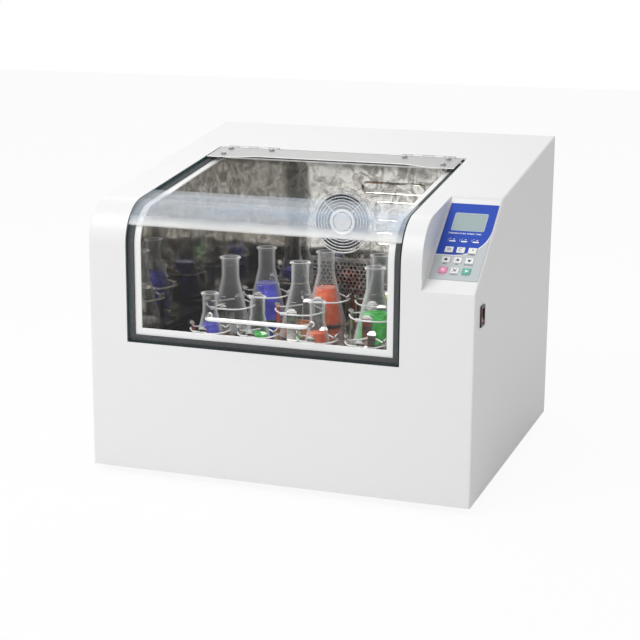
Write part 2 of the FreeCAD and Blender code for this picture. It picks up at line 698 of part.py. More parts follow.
def clamp(reach, arm_width, arm_height, wire_height):
    """One flask clamp: cross-shaped spring plate with flared arms, and its wire with a coil sleeve."""
    wall = at("clamp_wall")
    flare = at("tip_flare")
    tip = at("tip_height")
    outline = [
        (0, 0), (reach, 0), (reach, arm_height), (reach + flare, arm_height + tip),
        (reach + flare - wall, arm_height + tip), (reach - wall, arm_height), (reach - wall, wall), (0, wall),
    ]
    corners = [Vector(across, -arm_width / 2, up) for across, up in outline]
    arm = closed_face(corners).extrude(Vector(0, arm_width, 0))
    line = reach + at("tube_radius") + at("fill_gap")
    half = at("tube_length") / 2
    room = at("wire_radius") + at("fill_gap")
    neck = half + line - reach - room / math.cos(math.radians(45))
    for low_y in (neck, -neck - arm_width):
        arm = arm.cut(Part.makeBox(reach, arm_width, room * 2, Vector(reach / 2, low_y, wire_height - room)))
    arms = []
    for quarter in range(4):
        turned_arm = arm.copy()
        turned_arm.rotate(Vector(), Vector(0, 0, 1), 90 * quarter)
        arms.append(turned_arm)
    plate = arms[0].fuse(arms[1:]).removeSplitter()
    turns = [(line, -half), (line, half), (half, line), (-half, line),
             (-line, half), (-line, -half), (-half, -line), (half, -line)]
    loop = [Vector(across, back, wire_height) for across, back in turns]
    start = (loop[0] + loop[1]) / 2
    path = Part.Wire(Part.makePolygon([start] + loop[1:] + loop[:1] + [start]))
    sides = int(at("wire_sides"))
    section = circle_corners(at("wire_radius"), sides)
    ring = Part.makePolygon(section + section[:1])
    ring.rotate(Vector(), Vector(1, 0, 0), 90)
    ring.translate(start)
    wire = path.makePipeShell([ring], True, False, 1)
    sleeve = closed_face(circle_corners(at("tube_radius"), sides)).extrude(Vector(0, 0, at("tube_length")))
    sleeve.rotate(Vector(), Vector(0, 1, 0), 90)
    sleeve.translate(Vector(-at("tube_length") / 2, -line, wire_height))
    return [plate, wire.fuse(sleeve)]


def spread(pieces, centres, height):
    """Copies of the same solids at several places on the tray."""
    copies = []
    for centre in centres:
        for piece in pieces:
            twin = piece.copy()
            twin.translate(Vector(centre[0], centre[1], height))
            copies.append(twin)
    return Part.makeCompound(copies)


# Where the clamps stand, as shares of the tray's width and depth from its middle
LARGE_SHARES = [(-0.376, 0.057), (-0.068, 0.057), (0.252, 0.057),
                (-0.316, 0.372), (-0.047, 0.372), (0.192, 0.372)]
SMALL_SHARES = [(-0.312, -0.381), (-0.111, -0.381), (0.135, -0.381), (0.331, -0.381)]


def tray_places(shares):
    """Clamp centres on the tray."""
    return [(at("tray_x") + across * at("tray_width"), at("drive_y") + back * at("tray_depth"))
            for across, back in shares]


def flask(base, height, neck, rim, shoulder):
    """Conical glass flask, open at its rim."""
    glass = at("glass_wall")
    edge = at("base_edge")
    outline = [
        (0, 0), (base - edge / 2, 0), (base, edge), (neck, shoulder), (neck, height - at("rim_wall")),
        (rim, height), (neck - glass, height), (neck - glass, shoulder), (base - glass - edge / 2, glass), (0, glass),
    ]
    return many_sided(outline, int(at("flask_sides")))


def liquid(base, neck, shoulder, level):
    """What fills a flask up to a level, just inside its wall."""
    glass = at("glass_wall")
    gap = at("fill_gap")
    low_radius = base - glass - at("base_edge") / 2
    high_radius = low_radius + (neck - glass - low_radius) * (level - glass) / (shoulder - glass)
    outline = [(0, glass + gap), (low_radius - gap * 2, glass + gap), (high_radius - gap * 2, level), (0, level)]
    return many_sided(outline, int(at("flask_sides")))


# Cabinet, seat, lid and hinges


def add_cabinet():
    """Skin, floor pan, louvred rear panel and feet."""
    solid("cabinet_shell", cabinet_shell())
    inside = "width - cabinet_wall * 2"
    deep = "depth - cabinet_wall - rear_recess - rear_wall"
    low = ("left + cabinet_wall", "front + cabinet_wall", "base")
    pan = box("pan_block", low, (inside, deep, "pan_flange"))
    hollow = box("pan_hollow", ("left + cabinet_wall + pan_wall", "front + cabinet_wall + pan_wall",
                                "base + pan_wall"),
                 (f"{inside} - pan_wall * 2", f"{deep} - pan_wall * 2", "pan_flange"))
    finish(cut("pan", pan, [hollow]), "base_pan")
    rear_top = "front_top + (rear_face - rear_wall - front) * tan(top_angle) - cabinet_wall / cos(top_angle)"
    plate = box("rear_plate", ("left + cabinet_wall", "rear_face - rear_wall", "base"),
                (inside, "rear_wall", f"{rear_top} - base - fit_gap"))
    slots = []
    for side, start in (("l", "left + louvre_side"), ("r", "right - louvre_side - louvre_length")):
        for step in range(int(at("louvre_count"))):
            corner = (start, "rear_face - rear_wall * 2", f"base + louvre_low + louvre_pitch * {step}")
            slots.append(box(f"louvre_{side}{step}", corner, ("louvre_length", "rear_wall * 3", "louvre_height")))
    slots.append(box("inlet_hole", ("right - inlet_side - inlet_width / 2 + inlet_lap", "rear_face - rear_wall * 2",
                                    "base + inlet_up - inlet_height / 2 + inlet_wall"),
                     ("inlet_width - inlet_lap * 2", "rear_wall * 3", "inlet_height - inlet_wall * 2")))
    finish(cut("rear_sheet", plate, slots), "rear_panel")
    feet = []
    for across in ("left + foot_inset", "right - foot_inset"):
        for deep in ("front + foot_inset", "rear - foot_inset"):
            feet.append(cone(f"foot_{len(feet)}", (across, deep, "0"), "foot_radius", "foot_radius - foot_taper",
                             "foot_height"))
    finish(group("foot_set", feet), "feet")


def add_seat():
    """Seat frame and gasket round the lid opening."""
    solid("lid_frame", lid_frame())
    solid("lid_gasket", lid_gasket())


def screw_places():
    """Lid screws as (x, run, passes through the sheet)."""
    rear_run = at("lid_run") - at("lid_screw_rear")
    front_run = at("lid_run") - at("lid_screw_front")
    places_found = []
    for side in (-1, 1):
        places_found.append((at("lid_middle") + side * at("lid_screw_inner"), rear_run, False))
        places_found.append((at("lid_middle") + side * at("lid_screw_outer"), rear_run, False))
        places_found.append((at("lid_middle") + side * at("lid_screw_outer"), front_run, True))
    return places_found


def slope_turn(shape):
    """Carry a shape from the flat (x, run, height) frame onto the sloping top."""
    shape.Placement = Placement(Vector(0, at("slope_y"), at("slope_z")),
                                Rotation(Vector(1, 0, 0), at("top_angle"))).multiply(shape.Placement)
    return shape


def screw_shape(place, radius, head):
    """One lid screw, or the hole for its shank when it has no head."""
    across, run, through = place
    depth = at("lid_thickness") + at("lid_screw_tail") if through else at("lid_screw_bite")
    up = Vector(0, 0, 1)
    shank = round_bar(radius, Vector(across, run, -depth), up, depth + at("strip_thickness"))
    if head:
        cap = round_bar(at("lid_screw_radius"), Vector(across, run, at("strip_thickness")), up, at("lid_screw_head"))
        shank = shank.fuse(cap)
    return shank


def knuckles(fixed):
    """Barrels of both hinges, every other one, on the hinge axis."""
    run = at("hinge_run")
    pitch = at("knuckle_length") + at("knuckle_gap")
    bore = at("hinge_pin_radius") + (0 if fixed else at("pin_running_gap"))
    barrels = []
    for side in (-1, 1):
        middle = at("lid_middle") + side * at("hinge_reach")
        for step in range(-2, 3):
            if (step % 2 == 0) != fixed:
                continue
            start = Vector(middle + step * pitch - at("knuckle_length") / 2, run, 0)
            barrel = round_bar(at("knuckle_radius"), start, Vector(1, 0, 0), at("knuckle_length"))
            barrels.append((barrel, round_bar(bore, start, Vector(1, 0, 0), at("knuckle_length"))))
    return barrels


def hinge_leaf():
    """Fixed leaves screwed to the seat's rear wall, three barrels each."""
    leaves = []
    back = at("opening_run")
    length = at("knuckle_length") * 5 + at("knuckle_gap") * 4
    barrels = knuckles(True)
    for index, side in enumerate((-1, 1)):
        low_x = at("lid_middle") + side * at("hinge_reach") - length / 2
        leaf = plain_box((low_x, back - at("leaf_thickness"), -at("leaf_drop")),
                         (low_x + length, back, -at("leaf_neck")))
        own = barrels[index * 3:index * 3 + 3]
        tabs = []
        for barrel, bore in own:
            x = barrel.BoundBox.XMin
            tabs.append(plain_box((x, back - at("leaf_thickness"), -at("leaf_drop")),
                                  (x + at("knuckle_length"), back, 0)))
        leaf = leaf.fuse(tabs + [barrel for barrel, bore in own])
        leaves.append(leaf.cut([bore for barrel, bore in own]).removeSplitter())
    return slope_turn(Part.makeCompound(leaves))


def hinge_pin():
    """One long pin through each hinge."""
    length = at("knuckle_length") * 5 + at("knuckle_gap") * 4
    pins = []
    for side in (-1, 1):
        start = Vector(at("lid_middle") + side * at("hinge_reach") - length / 2, at("hinge_run"), 0)
        pins.append(round_bar(at("hinge_pin_radius"), start, Vector(1, 0, 0), length))
    return slope_turn(Part.makeCompound(pins))


def lid_hinge_strip():
    """Stainless strip along the lid's rear edge, wider at both ends, with the moving barrels."""
    low_x = at("lid_left") + at("strip_side")
    high_x = at("lid_right") - at("strip_side")
    rear_run = at("lid_run")
    deep = rear_run - at("strip_deep")
    shallow = rear_run - at("strip_shallow")
    end = at("strip_end")
    slant = end + at("strip_slant")
    outline = [
        (low_x, rear_run), (low_x, deep), (low_x + end, deep), (low_x + slant, shallow),
        (high_x - slant, shallow), (high_x - end, deep), (high_x, deep), (high_x, rear_run),
    ]
    corners = [Vector(across, run, 0) for across, run in outline]
    strip = Part.Face(Part.makePolygon(corners + corners[:1])).extrude(Vector(0, 0, at("strip_thickness")))
    barrels = knuckles(False)
    tabs = []
    for barrel, bore in barrels:
        x = barrel.BoundBox.XMin
        tabs.append(plain_box((x, rear_run - at("overrun"), 0),
                              (x + at("knuckle_length"), at("hinge_run"), at("strip_thickness"))))
    strip = strip.fuse(tabs + [barrel for barrel, bore in barrels])
    holes = [bore for barrel, bore in barrels]
    holes += [screw_shape(place, at("lid_screw_shank") + at("screw_gap"), False) for place in screw_places()]
    return slope_turn(strip.cut(holes).removeSplitter())


def add_lid():
    """Clear lid with its pull, hinge strip and screws, and the hinges' fixed side."""
    sheet = skin_band(at("lid_left"), at("lid_right"), 0, at("lid_thickness"), at("lid_low"), at("lid_run"))
    hole = at("lid_screw_shank") + at("screw_gap")
    holes = [slope_turn(screw_shape(place, hole, False)) for place in screw_places()]
    solid("lid_sheet", sheet.cut(holes))
    solid("lid_handle", lid_handle())
    solid("lid_hinge_strip", lid_hinge_strip())
    screws = [screw_shape(place, at("lid_screw_shank"), True) for place in screw_places()]
    solid("lid_screws", slope_turn(Part.makeCompound(screws)))
    solid("hinge_leaf", hinge_leaf())
    solid("hinge_pin", hinge_pin())


# Chamber, fan, heater and probe


def add_chamber():
    """Liner, insulation and the things on its rear wall."""
    solid("chamber_liner", chamber_liner())
    solid("insulation", insulation())
    solid("fan_guard", fan_guard())
    solid("fan_motor", fan_motor())
    solid("fan_impeller", fan_impeller())
    grille_left = "grille_mid - grille_width / 2"
    plate = box("grille_plate", (grille_left, "room_rear - grille_wall", "grille_low"),
                ("grille_width", "grille_wall", "grille_height"))
    slots = []
    for step in range(int(at("grille_slots"))):
        rise = f"grille_low + grille_end + grille_pitch * {step}"
        corner = (f"{grille_left} + grille_lap * 2", "room_rear - grille_wall * 2", rise)
        slots.append(box(f"grille_slot_{step}", corner, ("grille_width - grille_lap * 4", "grille_wall * 3",
                                                         "grille_slot")))
    finish(cut("grille", plate, slots), "air_grille")
    wide = "grille_width - heater_margin * 2"
    side = f"{grille_left} + heater_margin"
    pieces = []
    for name, rise in (("low", "grille_low"), ("high", "grille_high - heater_bar")):
        pieces.append(box(f"heater_bar_{name}", (side, "back_face", rise), (wide, "heater_depth", "heater_bar")))
    for step in range(int(at("heater_fins"))):
        across = f"{side} + ({wide} - heater_fin) / (heater_fins - 1) * {step}"
        corner = (across, "back_face", "grille_low + heater_bar")
        pieces.append(box(f"heater_fin_{step}", corner, ("heater_fin", "heater_depth",
                                                         "grille_height - heater_bar * 2")))
    finish(fused("heater", pieces), "heater_block")
    probe_foot = ("probe_mid", "room_rear - probe_length", "probe_high")
    stem = rod("probe_stem", probe_foot, "probe_radius", "probe_length + liner_wall", "y")
    nut = rod("probe_back_nut", ("probe_mid", "back_face", "probe_high"), "probe_nut", "probe_nut_length", "y")
    finish(fused("probe", [stem, nut]), "temperature_probe")


# Orbital drive


def add_drive_base():
    """Base plate on four posts, bearings, motor and belt."""
    plate = box("base_plate_block", ("drive_x - base_length / 2", "drive_y - base_width / 2", "base_low"),
                ("base_length", "base_width", "base_plate"))
    posts = [plate]
    for across in ("drive_x - base_length / 2 + isolator_inset", "drive_x + base_length / 2 - isolator_inset"):
        for deep in ("drive_y - base_width / 2 + isolator_inset", "drive_y + base_width / 2 - isolator_inset"):
            posts.append(rod(f"post_{len(posts)}", (across, deep, "base + pan_wall"), "isolator_radius",
                             "base_low - base - pan_wall"))
    finish(fused("drive_plate", posts), "drive_base")
    centre = ("drive_x", "crank_y")
    flange = box("bearing_flange_block", ("drive_x - bearing_flange", "crank_y - bearing_flange", "base_high"),
                 ("bearing_flange * 2", "bearing_flange * 2", "bearing_flange_wall"))
    housing = rod("bearing_housing", (*centre, "base_high"), "bearing_radius", "base + bearing_top - base_high")
    bore = rod("bearing_bore", (*centre, "base_high - overrun"), "shaft_radius + shaft_running_gap",
               "bearing_top + overrun")
    finish(cut("bearing", fused("bearing_body", [flange, housing]), [bore]), "main_bearing")
    blocks = []
    for name, across in (("left", "drive_x - idler_reach_x"), ("right", "drive_x + idler_reach_x")):
        block = box(f"idler_{name}_block", (f"{across} - idler_block / 2", "idler_y - idler_block / 2", "base_high"),
                    ("idler_block", "idler_block", "base + bearing_top - base_high"))
        hole = rod(f"idler_{name}_bore", (across, "idler_y", "base_high - overrun"),
                   "idler_shaft_radius + shaft_running_gap", "bearing_top + overrun")
        blocks.append(cut(f"idler_{name}_bearing", block, [hole]))
    finish(group("idler_blocks", blocks), "idler_bearings")
    motor_centre = ("motor_x", "crank_y")
    can = rod("motor_can", (*motor_centre, "base_high"), "motor_radius", "base + motor_top - base_high")
    boss = rod("motor_nose", (*motor_centre, "base + motor_top"), "motor_boss", "motor_boss_height")
    shaft = rod("motor_spindle", (*motor_centre, "base + motor_top"), "motor_shaft",
                "pulley_low + pulley_width - motor_top")
    finish(fused("motor", [can, boss, shaft]), "drive_motor")
    solid("drive_belt", drive_belt())


def add_crank():
    """Driven shaft with its eccentric pin, pulley and counterweight."""
    centre = ("drive_x", "crank_y")
    shaft = rod("crank_shaft", (*centre, "base_high + shaft_lift"), "shaft_radius",
                "base + web_high - base_high - shaft_lift")
    web = rod("crank_web", (*centre, "base + web_low"), "web_radius", "web_high - web_low")
    pin = rod("crank_pin", ("drive_x + eccentricity", "crank_y", "base + web_low"), "pin_radius",
              "pin_top - web_low")
    finish(fused("crank", [shaft, web, pin]), "main_crank_shaft")
    wheel = turned("driven_wheel", [
        ("shaft_radius", "0"), ("pulley_radius", "0"), ("pulley_radius", "pulley_width"),
        ("pulley_radius - pulley_rim", "pulley_width"), ("pulley_radius - pulley_rim", "pulley_web"),
        ("pulley_hub", "pulley_web"), ("pulley_hub", "pulley_width"), ("shaft_radius", "pulley_width")])
    set_place(wheel, ("drive_x", "crank_y", "base + pulley_low"))
    finish(wheel, "driven_pulley")
    disc = rod("counter_disc", (*centre, "base + counter_low"), "counter_radius", "counter_high - counter_low")
    away = box("counter_away",
               ("drive_x - counter_edge", "crank_y - counter_radius - overrun", "base + counter_low - overrun"),
               ("counter_radius * 2", "(counter_radius + overrun) * 2", "counter_high - counter_low + overrun * 2"))
    half = cut("counter_half", disc, [away])
    hub = rod("counter_hub_disc", (*centre, "base + counter_low"), "counter_hub", "counter_high - counter_low")
    bore = rod("counter_bore", (*centre, "base + counter_low - overrun"), "shaft_radius",
               "counter_high - counter_low + overrun * 2")
    finish(cut("counter", fused("counter_body", [half, hub]), [bore]), "counterweight")
    small = turned("motor_wheel", [
        ("motor_shaft + shaft_running_gap", "0"), ("motor_pulley_radius + pulley_lip", "0"),
        ("motor_pulley_radius + pulley_lip", "lip_wall"), ("motor_pulley_radius", "lip_wall"),
        ("motor_pulley_radius", "pulley_width - lip_wall"),
        ("motor_pulley_radius + pulley_lip", "pulley_width - lip_wall"),
        ("motor_pulley_radius + pulley_lip", "pulley_width"), ("motor_shaft + shaft_running_gap", "pulley_width")])
    set_place(small, ("motor_x", "crank_y", "base + pulley_low"))
    finish(small, "motor_pulley")


def add_idler(number, across):
    """One idler shaft with the same throw as the crank."""
    shaft = rod(f"idler_{number}_bar", (across, "idler_y", "base_high + shaft_lift"), "idler_shaft_radius",
                "base + web_high - base_high - shaft_lift")
    web = rod(f"idler_{number}_web", (across, "idler_y", "base + web_low"), "idler_web_radius", "web_high - web_low")
    pin = rod(f"idler_{number}_pin", (f"{across} + eccentricity", "idler_y", "base + web_low"), "pin_radius",
              "pin_top - web_low")
    finish(fused(f"idler_{number}", [shaft, web, pin]), f"idler_shaft_{number}")


# Platform and its load


def add_platform():
    """Carriage on the three pins, tray and tray knobs."""
    low_x = "tray_x - idler_reach_x - carriage_bar / 2"
    wide = "idler_reach_x * 2 + carriage_bar"
    low_y = "idler_y - carriage_bar / 2"
    deep = "idler_reach_y + crank_back + carriage_bar"
    tall = "tray_low - base - carriage_low"
    frame = box("carriage_block", (low_x, low_y, "base + carriage_low"), (wide, deep, tall))
    inner = box("carriage_hollow", (f"{low_x} + carriage_bar", f"{low_y} + carriage_bar",
                                    "base + carriage_low - overrun"),
                (f"{wide} - carriage_bar * 2", f"{deep} - carriage_bar * 2", f"{tall} + overrun * 2"))
    tools = [inner]
    for name, across, back in (("crank", "tray_x", "crank_y"), ("left", "tray_x - idler_reach_x", "idler_y"),
                               ("right", "tray_x + idler_reach_x", "idler_y")):
        foot = (across, back, "base + carriage_low - overrun")
        tools.append(rod(f"carriage_bore_{name}", foot, "pin_radius + shaft_running_gap",
                         "pin_top - carriage_low + overrun + fit_gap"))
    finish(cut("carriage", frame, tools), "carriage_frame")
    corner = ("tray_x - tray_width / 2", "drive_y - tray_depth / 2", "tray_low - tray_lip")
    block = box("tray_block", corner, ("tray_width", "tray_depth", "tray_lip + tray_wall"))
    under = box("tray_under", ("tray_x - tray_width / 2 + tray_wall", "drive_y - tray_depth / 2 + tray_wall",
                               "tray_low - tray_lip - overrun"),
                ("tray_width - tray_wall * 2", "tray_depth - tray_wall * 2", "tray_lip + overrun"))
    holes = [under]
    knobs = []
    for across in ("tray_x - tray_width / 2 + knob_side", "tray_x + tray_width / 2 - knob_side"):
        for back in ("drive_y - knob_front", "drive_y + knob_back"):
            number = len(knobs)
            foot = (across, back, "tray_low - knob_tail")
            holes.append(rod(f"knob_hole_{number}", foot, "knob_shank + screw_gap", "tray_wall + knob_tail * 2"))
            shank = rod(f"knob_shank_{number}", foot, "knob_shank", "tray_wall + knob_tail")
            head = rod(f"knob_head_{number}", (across, back, "tray_low + tray_wall"), "knob_radius", "knob_height")
            knobs.append(fused(f"knob_{number}", [shank, head]))
    finish(cut("tray_sheet", block, holes), "tray")
    finish(group("knob_set", knobs), "tray_knobs")


# Each liquid's level as a share of the flask's shoulder, and the large and small places it fills
FILL_SHARES = {
    "liquid_amber": (0.24, [1], []),
    "liquid_green": (0.55, [2], [1]),
    "liquid_blue": (0.7, [3], [0]),
    "liquid_orange": (0.7, [4], [2]),
    "liquid_yellow": (0.6, [5], []),
}


def add_load():
    """Clamps on the tray, flasks in all but one of them and what the flasks hold."""
    top = at("base") + at("tray_top")
    large_places = tray_places(LARGE_SHARES)
    small_places = tray_places(SMALL_SHARES)
    large = clamp(at("large_reach"), at("large_arm_width"), at("large_arm_height"), at("large_wire_height"))
    small = clamp(at("small_reach"), at("small_arm_width"), at("small_arm_height"), at("small_wire_height"))
    solid("clamps_large", spread(large, large_places, top))
    solid("clamps_small", spread(small, small_places, top))
    floor = top + at("clamp_wall")
    large_flask = flask(at("large_base"), at("large_height"), at("large_neck"), at("large_rim"),
                        at("large_shoulder"))
    small_flask = flask(at("small_base"), at("small_height"), at("small_neck"), at("small_rim"),
                        at("small_shoulder"))
    solid("flasks_large", spread([large_flask], large_places, floor))
    solid("flasks_small", spread([small_flask], small_places[:-1], floor))
    for label, (share, large_spots, small_spots) in FILL_SHARES.items():
        large_fill = liquid(at("large_base"), at("large_neck"), at("large_shoulder"), share * at("large_shoulder"))
        small_fill = liquid(at("small_base"), at("small_neck"), at("small_shoulder"), share * at("small_shoulder"))
        parts = spread([large_fill], [large_places[spot] for spot in large_spots], floor).Solids
        parts += spread([small_fill], [small_places[spot] for spot in small_spots], floor).Solids
        solid(label, Part.makeCompound(parts))


# Console, rocker switch and services


KEYS = {"key_mode": (-1, 1), "key_speed": (0, 1), "key_timer": (1, 1),
        "key_round": (-1, 0), "key_up": (0, 0), "key_down": (1, 0),
        "key_stop": (-1, -1), "key_light": (0, -1), "key_start": (1, -1)}


def key_corner(spot, margin):
    """Low corner of a key in the console's flat frame, grown by a margin."""
    column, line = spot
    return (f"key_x + key_pitch_x * {column} - key_width / 2 - {margin}",
            f"key_mid_up + key_pitch_up * {line} - key_height / 2 - {margin}")


def add_console():
    """Membrane panel with window and keys over their circuit board."""
    plate = box("panel_plate", ("panel_right - panel_width", "panel_low", "0"),
                ("panel_width", "panel_length", "panel_wall"))
    window_x = "panel_right - panel_width / 2 - window_width / 2"
    window_y = "window_up - window_height / 2"
    holes = [box("window_hole", (window_x, window_y, "-overrun"),
                 ("window_width", "window_height", "overrun * 2"))]
    for name, spot in KEYS.items():
        corner = key_corner(spot, "key_gap")
        holes.append(box(f"{name}_hole", (*corner, "-overrun"),
                         ("key_width + key_gap * 2", "key_height + key_gap * 2", "overrun * 2")))
        cap = box(f"{name}_cap", (*key_corner(spot, "0"), "key_low"), ("key_width", "key_height", "key_wall"))
        skirt = box(f"{name}_skirt", (*key_corner(spot, "key_flange"), "key_low"),
                    ("key_width + key_flange * 2", "key_height + key_flange * 2", "key_flange_wall"))
        finish(on_console(fused(f"{name}_body", [cap, skirt])), name)
    finish(on_console(cut("panel", plate, holes)), "console_panel")
    window = box("window_plate", (window_x, window_y, "panel_wall - window_wall"),
                 ("window_width", "window_height", "window_wall"))
    finish(on_console(group("window_set", [window])), "lcd_window")
    board_top = "key_low - key_travel_gap - board_switch_height"
    board = box("board_plate", ("panel_right - panel_width + board_margin", "panel_low + board_margin",
                                f"{board_top} - board_wall"),
                ("panel_width - board_margin * 2", "panel_length - board_margin * 2", "board_wall"))
    pieces = [board]
    for name, (column, line) in KEYS.items():
        corner = (f"key_x + key_pitch_x * {column} - board_switch / 2",
                  f"key_mid_up + key_pitch_up * {line} - board_switch / 2", board_top)
        pieces.append(box(f"{name}_switch", corner, ("board_switch", "board_switch", "board_switch_height")))
    for across in ("panel_right - panel_width + panel_lap", "panel_right - panel_lap - board_post"):
        for up in ("panel_low + board_margin", "panel_low + panel_length - board_margin - board_post"):
            corner = (across, up, board_top)
            pieces.append(box(f"board_post_{len(pieces)}", corner, ("board_post", "board_post",
                                                                    f"-cabinet_wall - ({board_top})")))
    finish(on_console(fused("board", pieces)), "control_board")


def rocker_outline():
    """Side profile of the rocker about its pivot, out of the cabinet along +X."""
    half = at("rocker_half")
    end = at("rocker_end")
    return [(end, half), (at("rocker_dip"), 0), (end, -half), (-at("rocker_heel"), -half),
            (-at("rocker_back"), -at("rocker_keel")), (-at("rocker_back"), at("rocker_keel")),
            (-at("rocker_heel"), half)]


def add_switch():
    """Mains rocker in its bezel on the right side."""
    flange = box("bezel_flange", ("right", "switch_y - bezel_width / 2", "switch_z - bezel_height / 2"),
                 ("bezel_reach", "bezel_width", "bezel_height"))
    barrel = box("bezel_barrel", ("right - bezel_depth", "switch_y - bezel_width / 2 + bezel_wall",
                                  "switch_z - bezel_height / 2 + bezel_wall"),
                 ("bezel_depth", "bezel_width - bezel_wall * 2", "bezel_height - bezel_wall * 2"))
    wall = "bezel_wall + barrel_wall"
    cavity = box("bezel_cavity", ("right - bezel_depth + barrel_wall", f"switch_y - bezel_width / 2 + {wall}",
                                  f"switch_z - bezel_height / 2 + {wall}"),
                 ("bezel_depth + bezel_reach", f"bezel_width - ({wall}) * 2", f"bezel_height - ({wall}) * 2"))
    bore = rod("bezel_bore", ("right - pivot_depth", "switch_y - bezel_width / 2 + bezel_wall", "switch_z"),
               "pivot_radius + pin_running_gap", "bezel_width - bezel_wall * 2", "y")
    finish(cut("bezel", fused("bezel_body", [flange, barrel]), [cavity, bore]), "rocker_bezel")
    half = at("bezel_width") / 2 - at("bezel_wall") - at("barrel_wall") - at("rocker_gap")
    corners = [Vector(out, -half, up) for out, up in rocker_outline()]
    body = Part.Face(Part.makePolygon(corners + corners[:1])).extrude(Vector(0, half * 2, 0))
    reach = half + at("pivot_length")
    body = body.fuse(round_bar(at("pivot_radius"), Vector(0, -reach, 0), Vector(0, 1, 0), reach * 2))
    body.rotate(Vector(), Vector(0, 1, 0), -at("rocker_tilt"))
    body.translate(Vector(at("right") - at("pivot_depth"), at("switch_y"), at("switch_z")))
    solid("rocker", body)


def add_services():
    """Power supply on the floor pan and the mains inlet in the rear panel."""
    low = ("right - supply_side - supply_width", "rear_face - rear_wall - supply_back - supply_depth",
           "base + pan_wall")
    pieces = [box("supply_case", low, ("supply_width", "supply_depth", "supply_height"))]
    for name, across in (("left", f"{low[0]} - supply_tab"), ("right", f"{low[0]} + supply_width")):
        pieces.append(box(f"supply_tab_{name}", (across, low[1], low[2]),
                          ("supply_tab", "supply_depth", "supply_tab_wall")))
    finish(fused("supply", pieces), "power_supply")
    low_x = "right - inlet_side - inlet_width / 2"
    low_z = "base + inlet_up - inlet_height / 2"
    flange = box("inlet_face", (low_x, "rear_face", low_z), ("inlet_width", "inlet_flange", "inlet_height"))
    body = box("inlet_body", (f"{low_x} + inlet_lap", "rear_face - inlet_depth", f"{low_z} + inlet_wall"),
               ("inlet_width - inlet_lap * 2", "inlet_depth", "inlet_height - inlet_wall * 2"))
    socket = box("inlet_socket", (f"{low_x} + inlet_lap + inlet_wall", "rear_face - inlet_depth + inlet_wall",
                                  f"{low_z} + inlet_wall * 2"),
                 ("inlet_width - inlet_lap * 2 - inlet_wall * 2", "inlet_depth + inlet_flange",
                  "inlet_height - inlet_wall * 4"))
    hollow = cut("inlet_hollow", fused("inlet_case", [flange, body]), [socket])
    pins = [hollow]
    for step in (-1, 0, 1):
        corner = (f"right - inlet_side + inlet_pin_pitch * {step} - inlet_pin / 4",
                  "rear_face - inlet_depth + inlet_wall / 2", "base + inlet_up - inlet_pin / 2")
        pins.append(box(f"inlet_pin_{step + 1}", corner, ("inlet_pin / 2", "inlet_depth - inlet_wall", "inlet_pin")))
    finish(fused("inlet", pins), "power_inlet")


def check(node):
    """Stop on anything broken in a finished sub-part."""
    states = {"Invalid", "Error"} & set(node.State)
    shape = node.Shape
    if states or shape.isNull() or not shape.isValid() or shape.Volume <= 0:
        raise RuntimeError(f"{node.Label} is broken: {node.State}")


def main():
    """Build every sub-part, check it and write it out."""
    add_cabinet()
    add_seat()
    add_lid()
    add_chamber()
    add_drive_base()
    add_crank()
    add_idler(1, "drive_x - idler_reach_x")
    add_idler(2, "drive_x + idler_reach_x")
    add_platform()
    add_load()
    add_console()
    add_switch()
    add_services()
    doc.recompute()
    for item in doc.Objects:
        if {"Invalid", "Error"} & set(item.State):
            raise RuntimeError(f"{item.Name} did not compute: {item.State}")
    os.makedirs("parts", exist_ok=True)
    for node in finished:
        check(node)
        node.Shape.exportStep(f"parts/{node.Label}.step")


main()
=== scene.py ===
import json
import logging
import math
from dataclasses import dataclass, field
from enum import Enum
from typing import Any, Callable, Optional, Sequence, Union

import bmesh
import bpy
from mathutils import Matrix, Vector


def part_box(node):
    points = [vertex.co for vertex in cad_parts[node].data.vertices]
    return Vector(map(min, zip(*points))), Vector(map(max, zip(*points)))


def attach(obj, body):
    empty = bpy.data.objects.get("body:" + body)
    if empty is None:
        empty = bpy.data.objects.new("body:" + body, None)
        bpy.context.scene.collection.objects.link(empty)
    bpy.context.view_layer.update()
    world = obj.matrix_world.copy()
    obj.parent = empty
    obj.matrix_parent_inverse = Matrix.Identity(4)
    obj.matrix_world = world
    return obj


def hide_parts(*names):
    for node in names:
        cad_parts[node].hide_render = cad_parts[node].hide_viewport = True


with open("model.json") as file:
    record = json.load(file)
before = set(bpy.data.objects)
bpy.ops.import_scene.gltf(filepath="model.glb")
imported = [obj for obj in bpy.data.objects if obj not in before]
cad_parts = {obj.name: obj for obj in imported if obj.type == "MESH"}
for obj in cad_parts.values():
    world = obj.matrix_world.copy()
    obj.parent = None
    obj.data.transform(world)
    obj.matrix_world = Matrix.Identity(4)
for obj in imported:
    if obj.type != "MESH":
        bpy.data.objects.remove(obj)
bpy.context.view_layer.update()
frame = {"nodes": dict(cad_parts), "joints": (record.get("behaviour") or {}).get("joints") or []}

MM = 0.001
CREASE = 32.0
SHARP = math.radians(30)
FLAT = math.radians(0.3)
WELD = 5e-6
SEAM = 1e-6
FACING = 0.9
LOG = logging.getLogger("shaker")

Color = tuple[float, float, float, float]
Triple = tuple[float, float, float]
Outline = Sequence[tuple[float, float]]
Box = tuple[Vector, Vector]
UP = Vector((0.0, 0.0, 1.0))
BACK = Vector((0.0, 1.0, 0.0))
RIGHT = Vector((1.0, 0.0, 0.0))
UPRIGHT = Matrix.Rotation(math.radians(90), 4, "X")


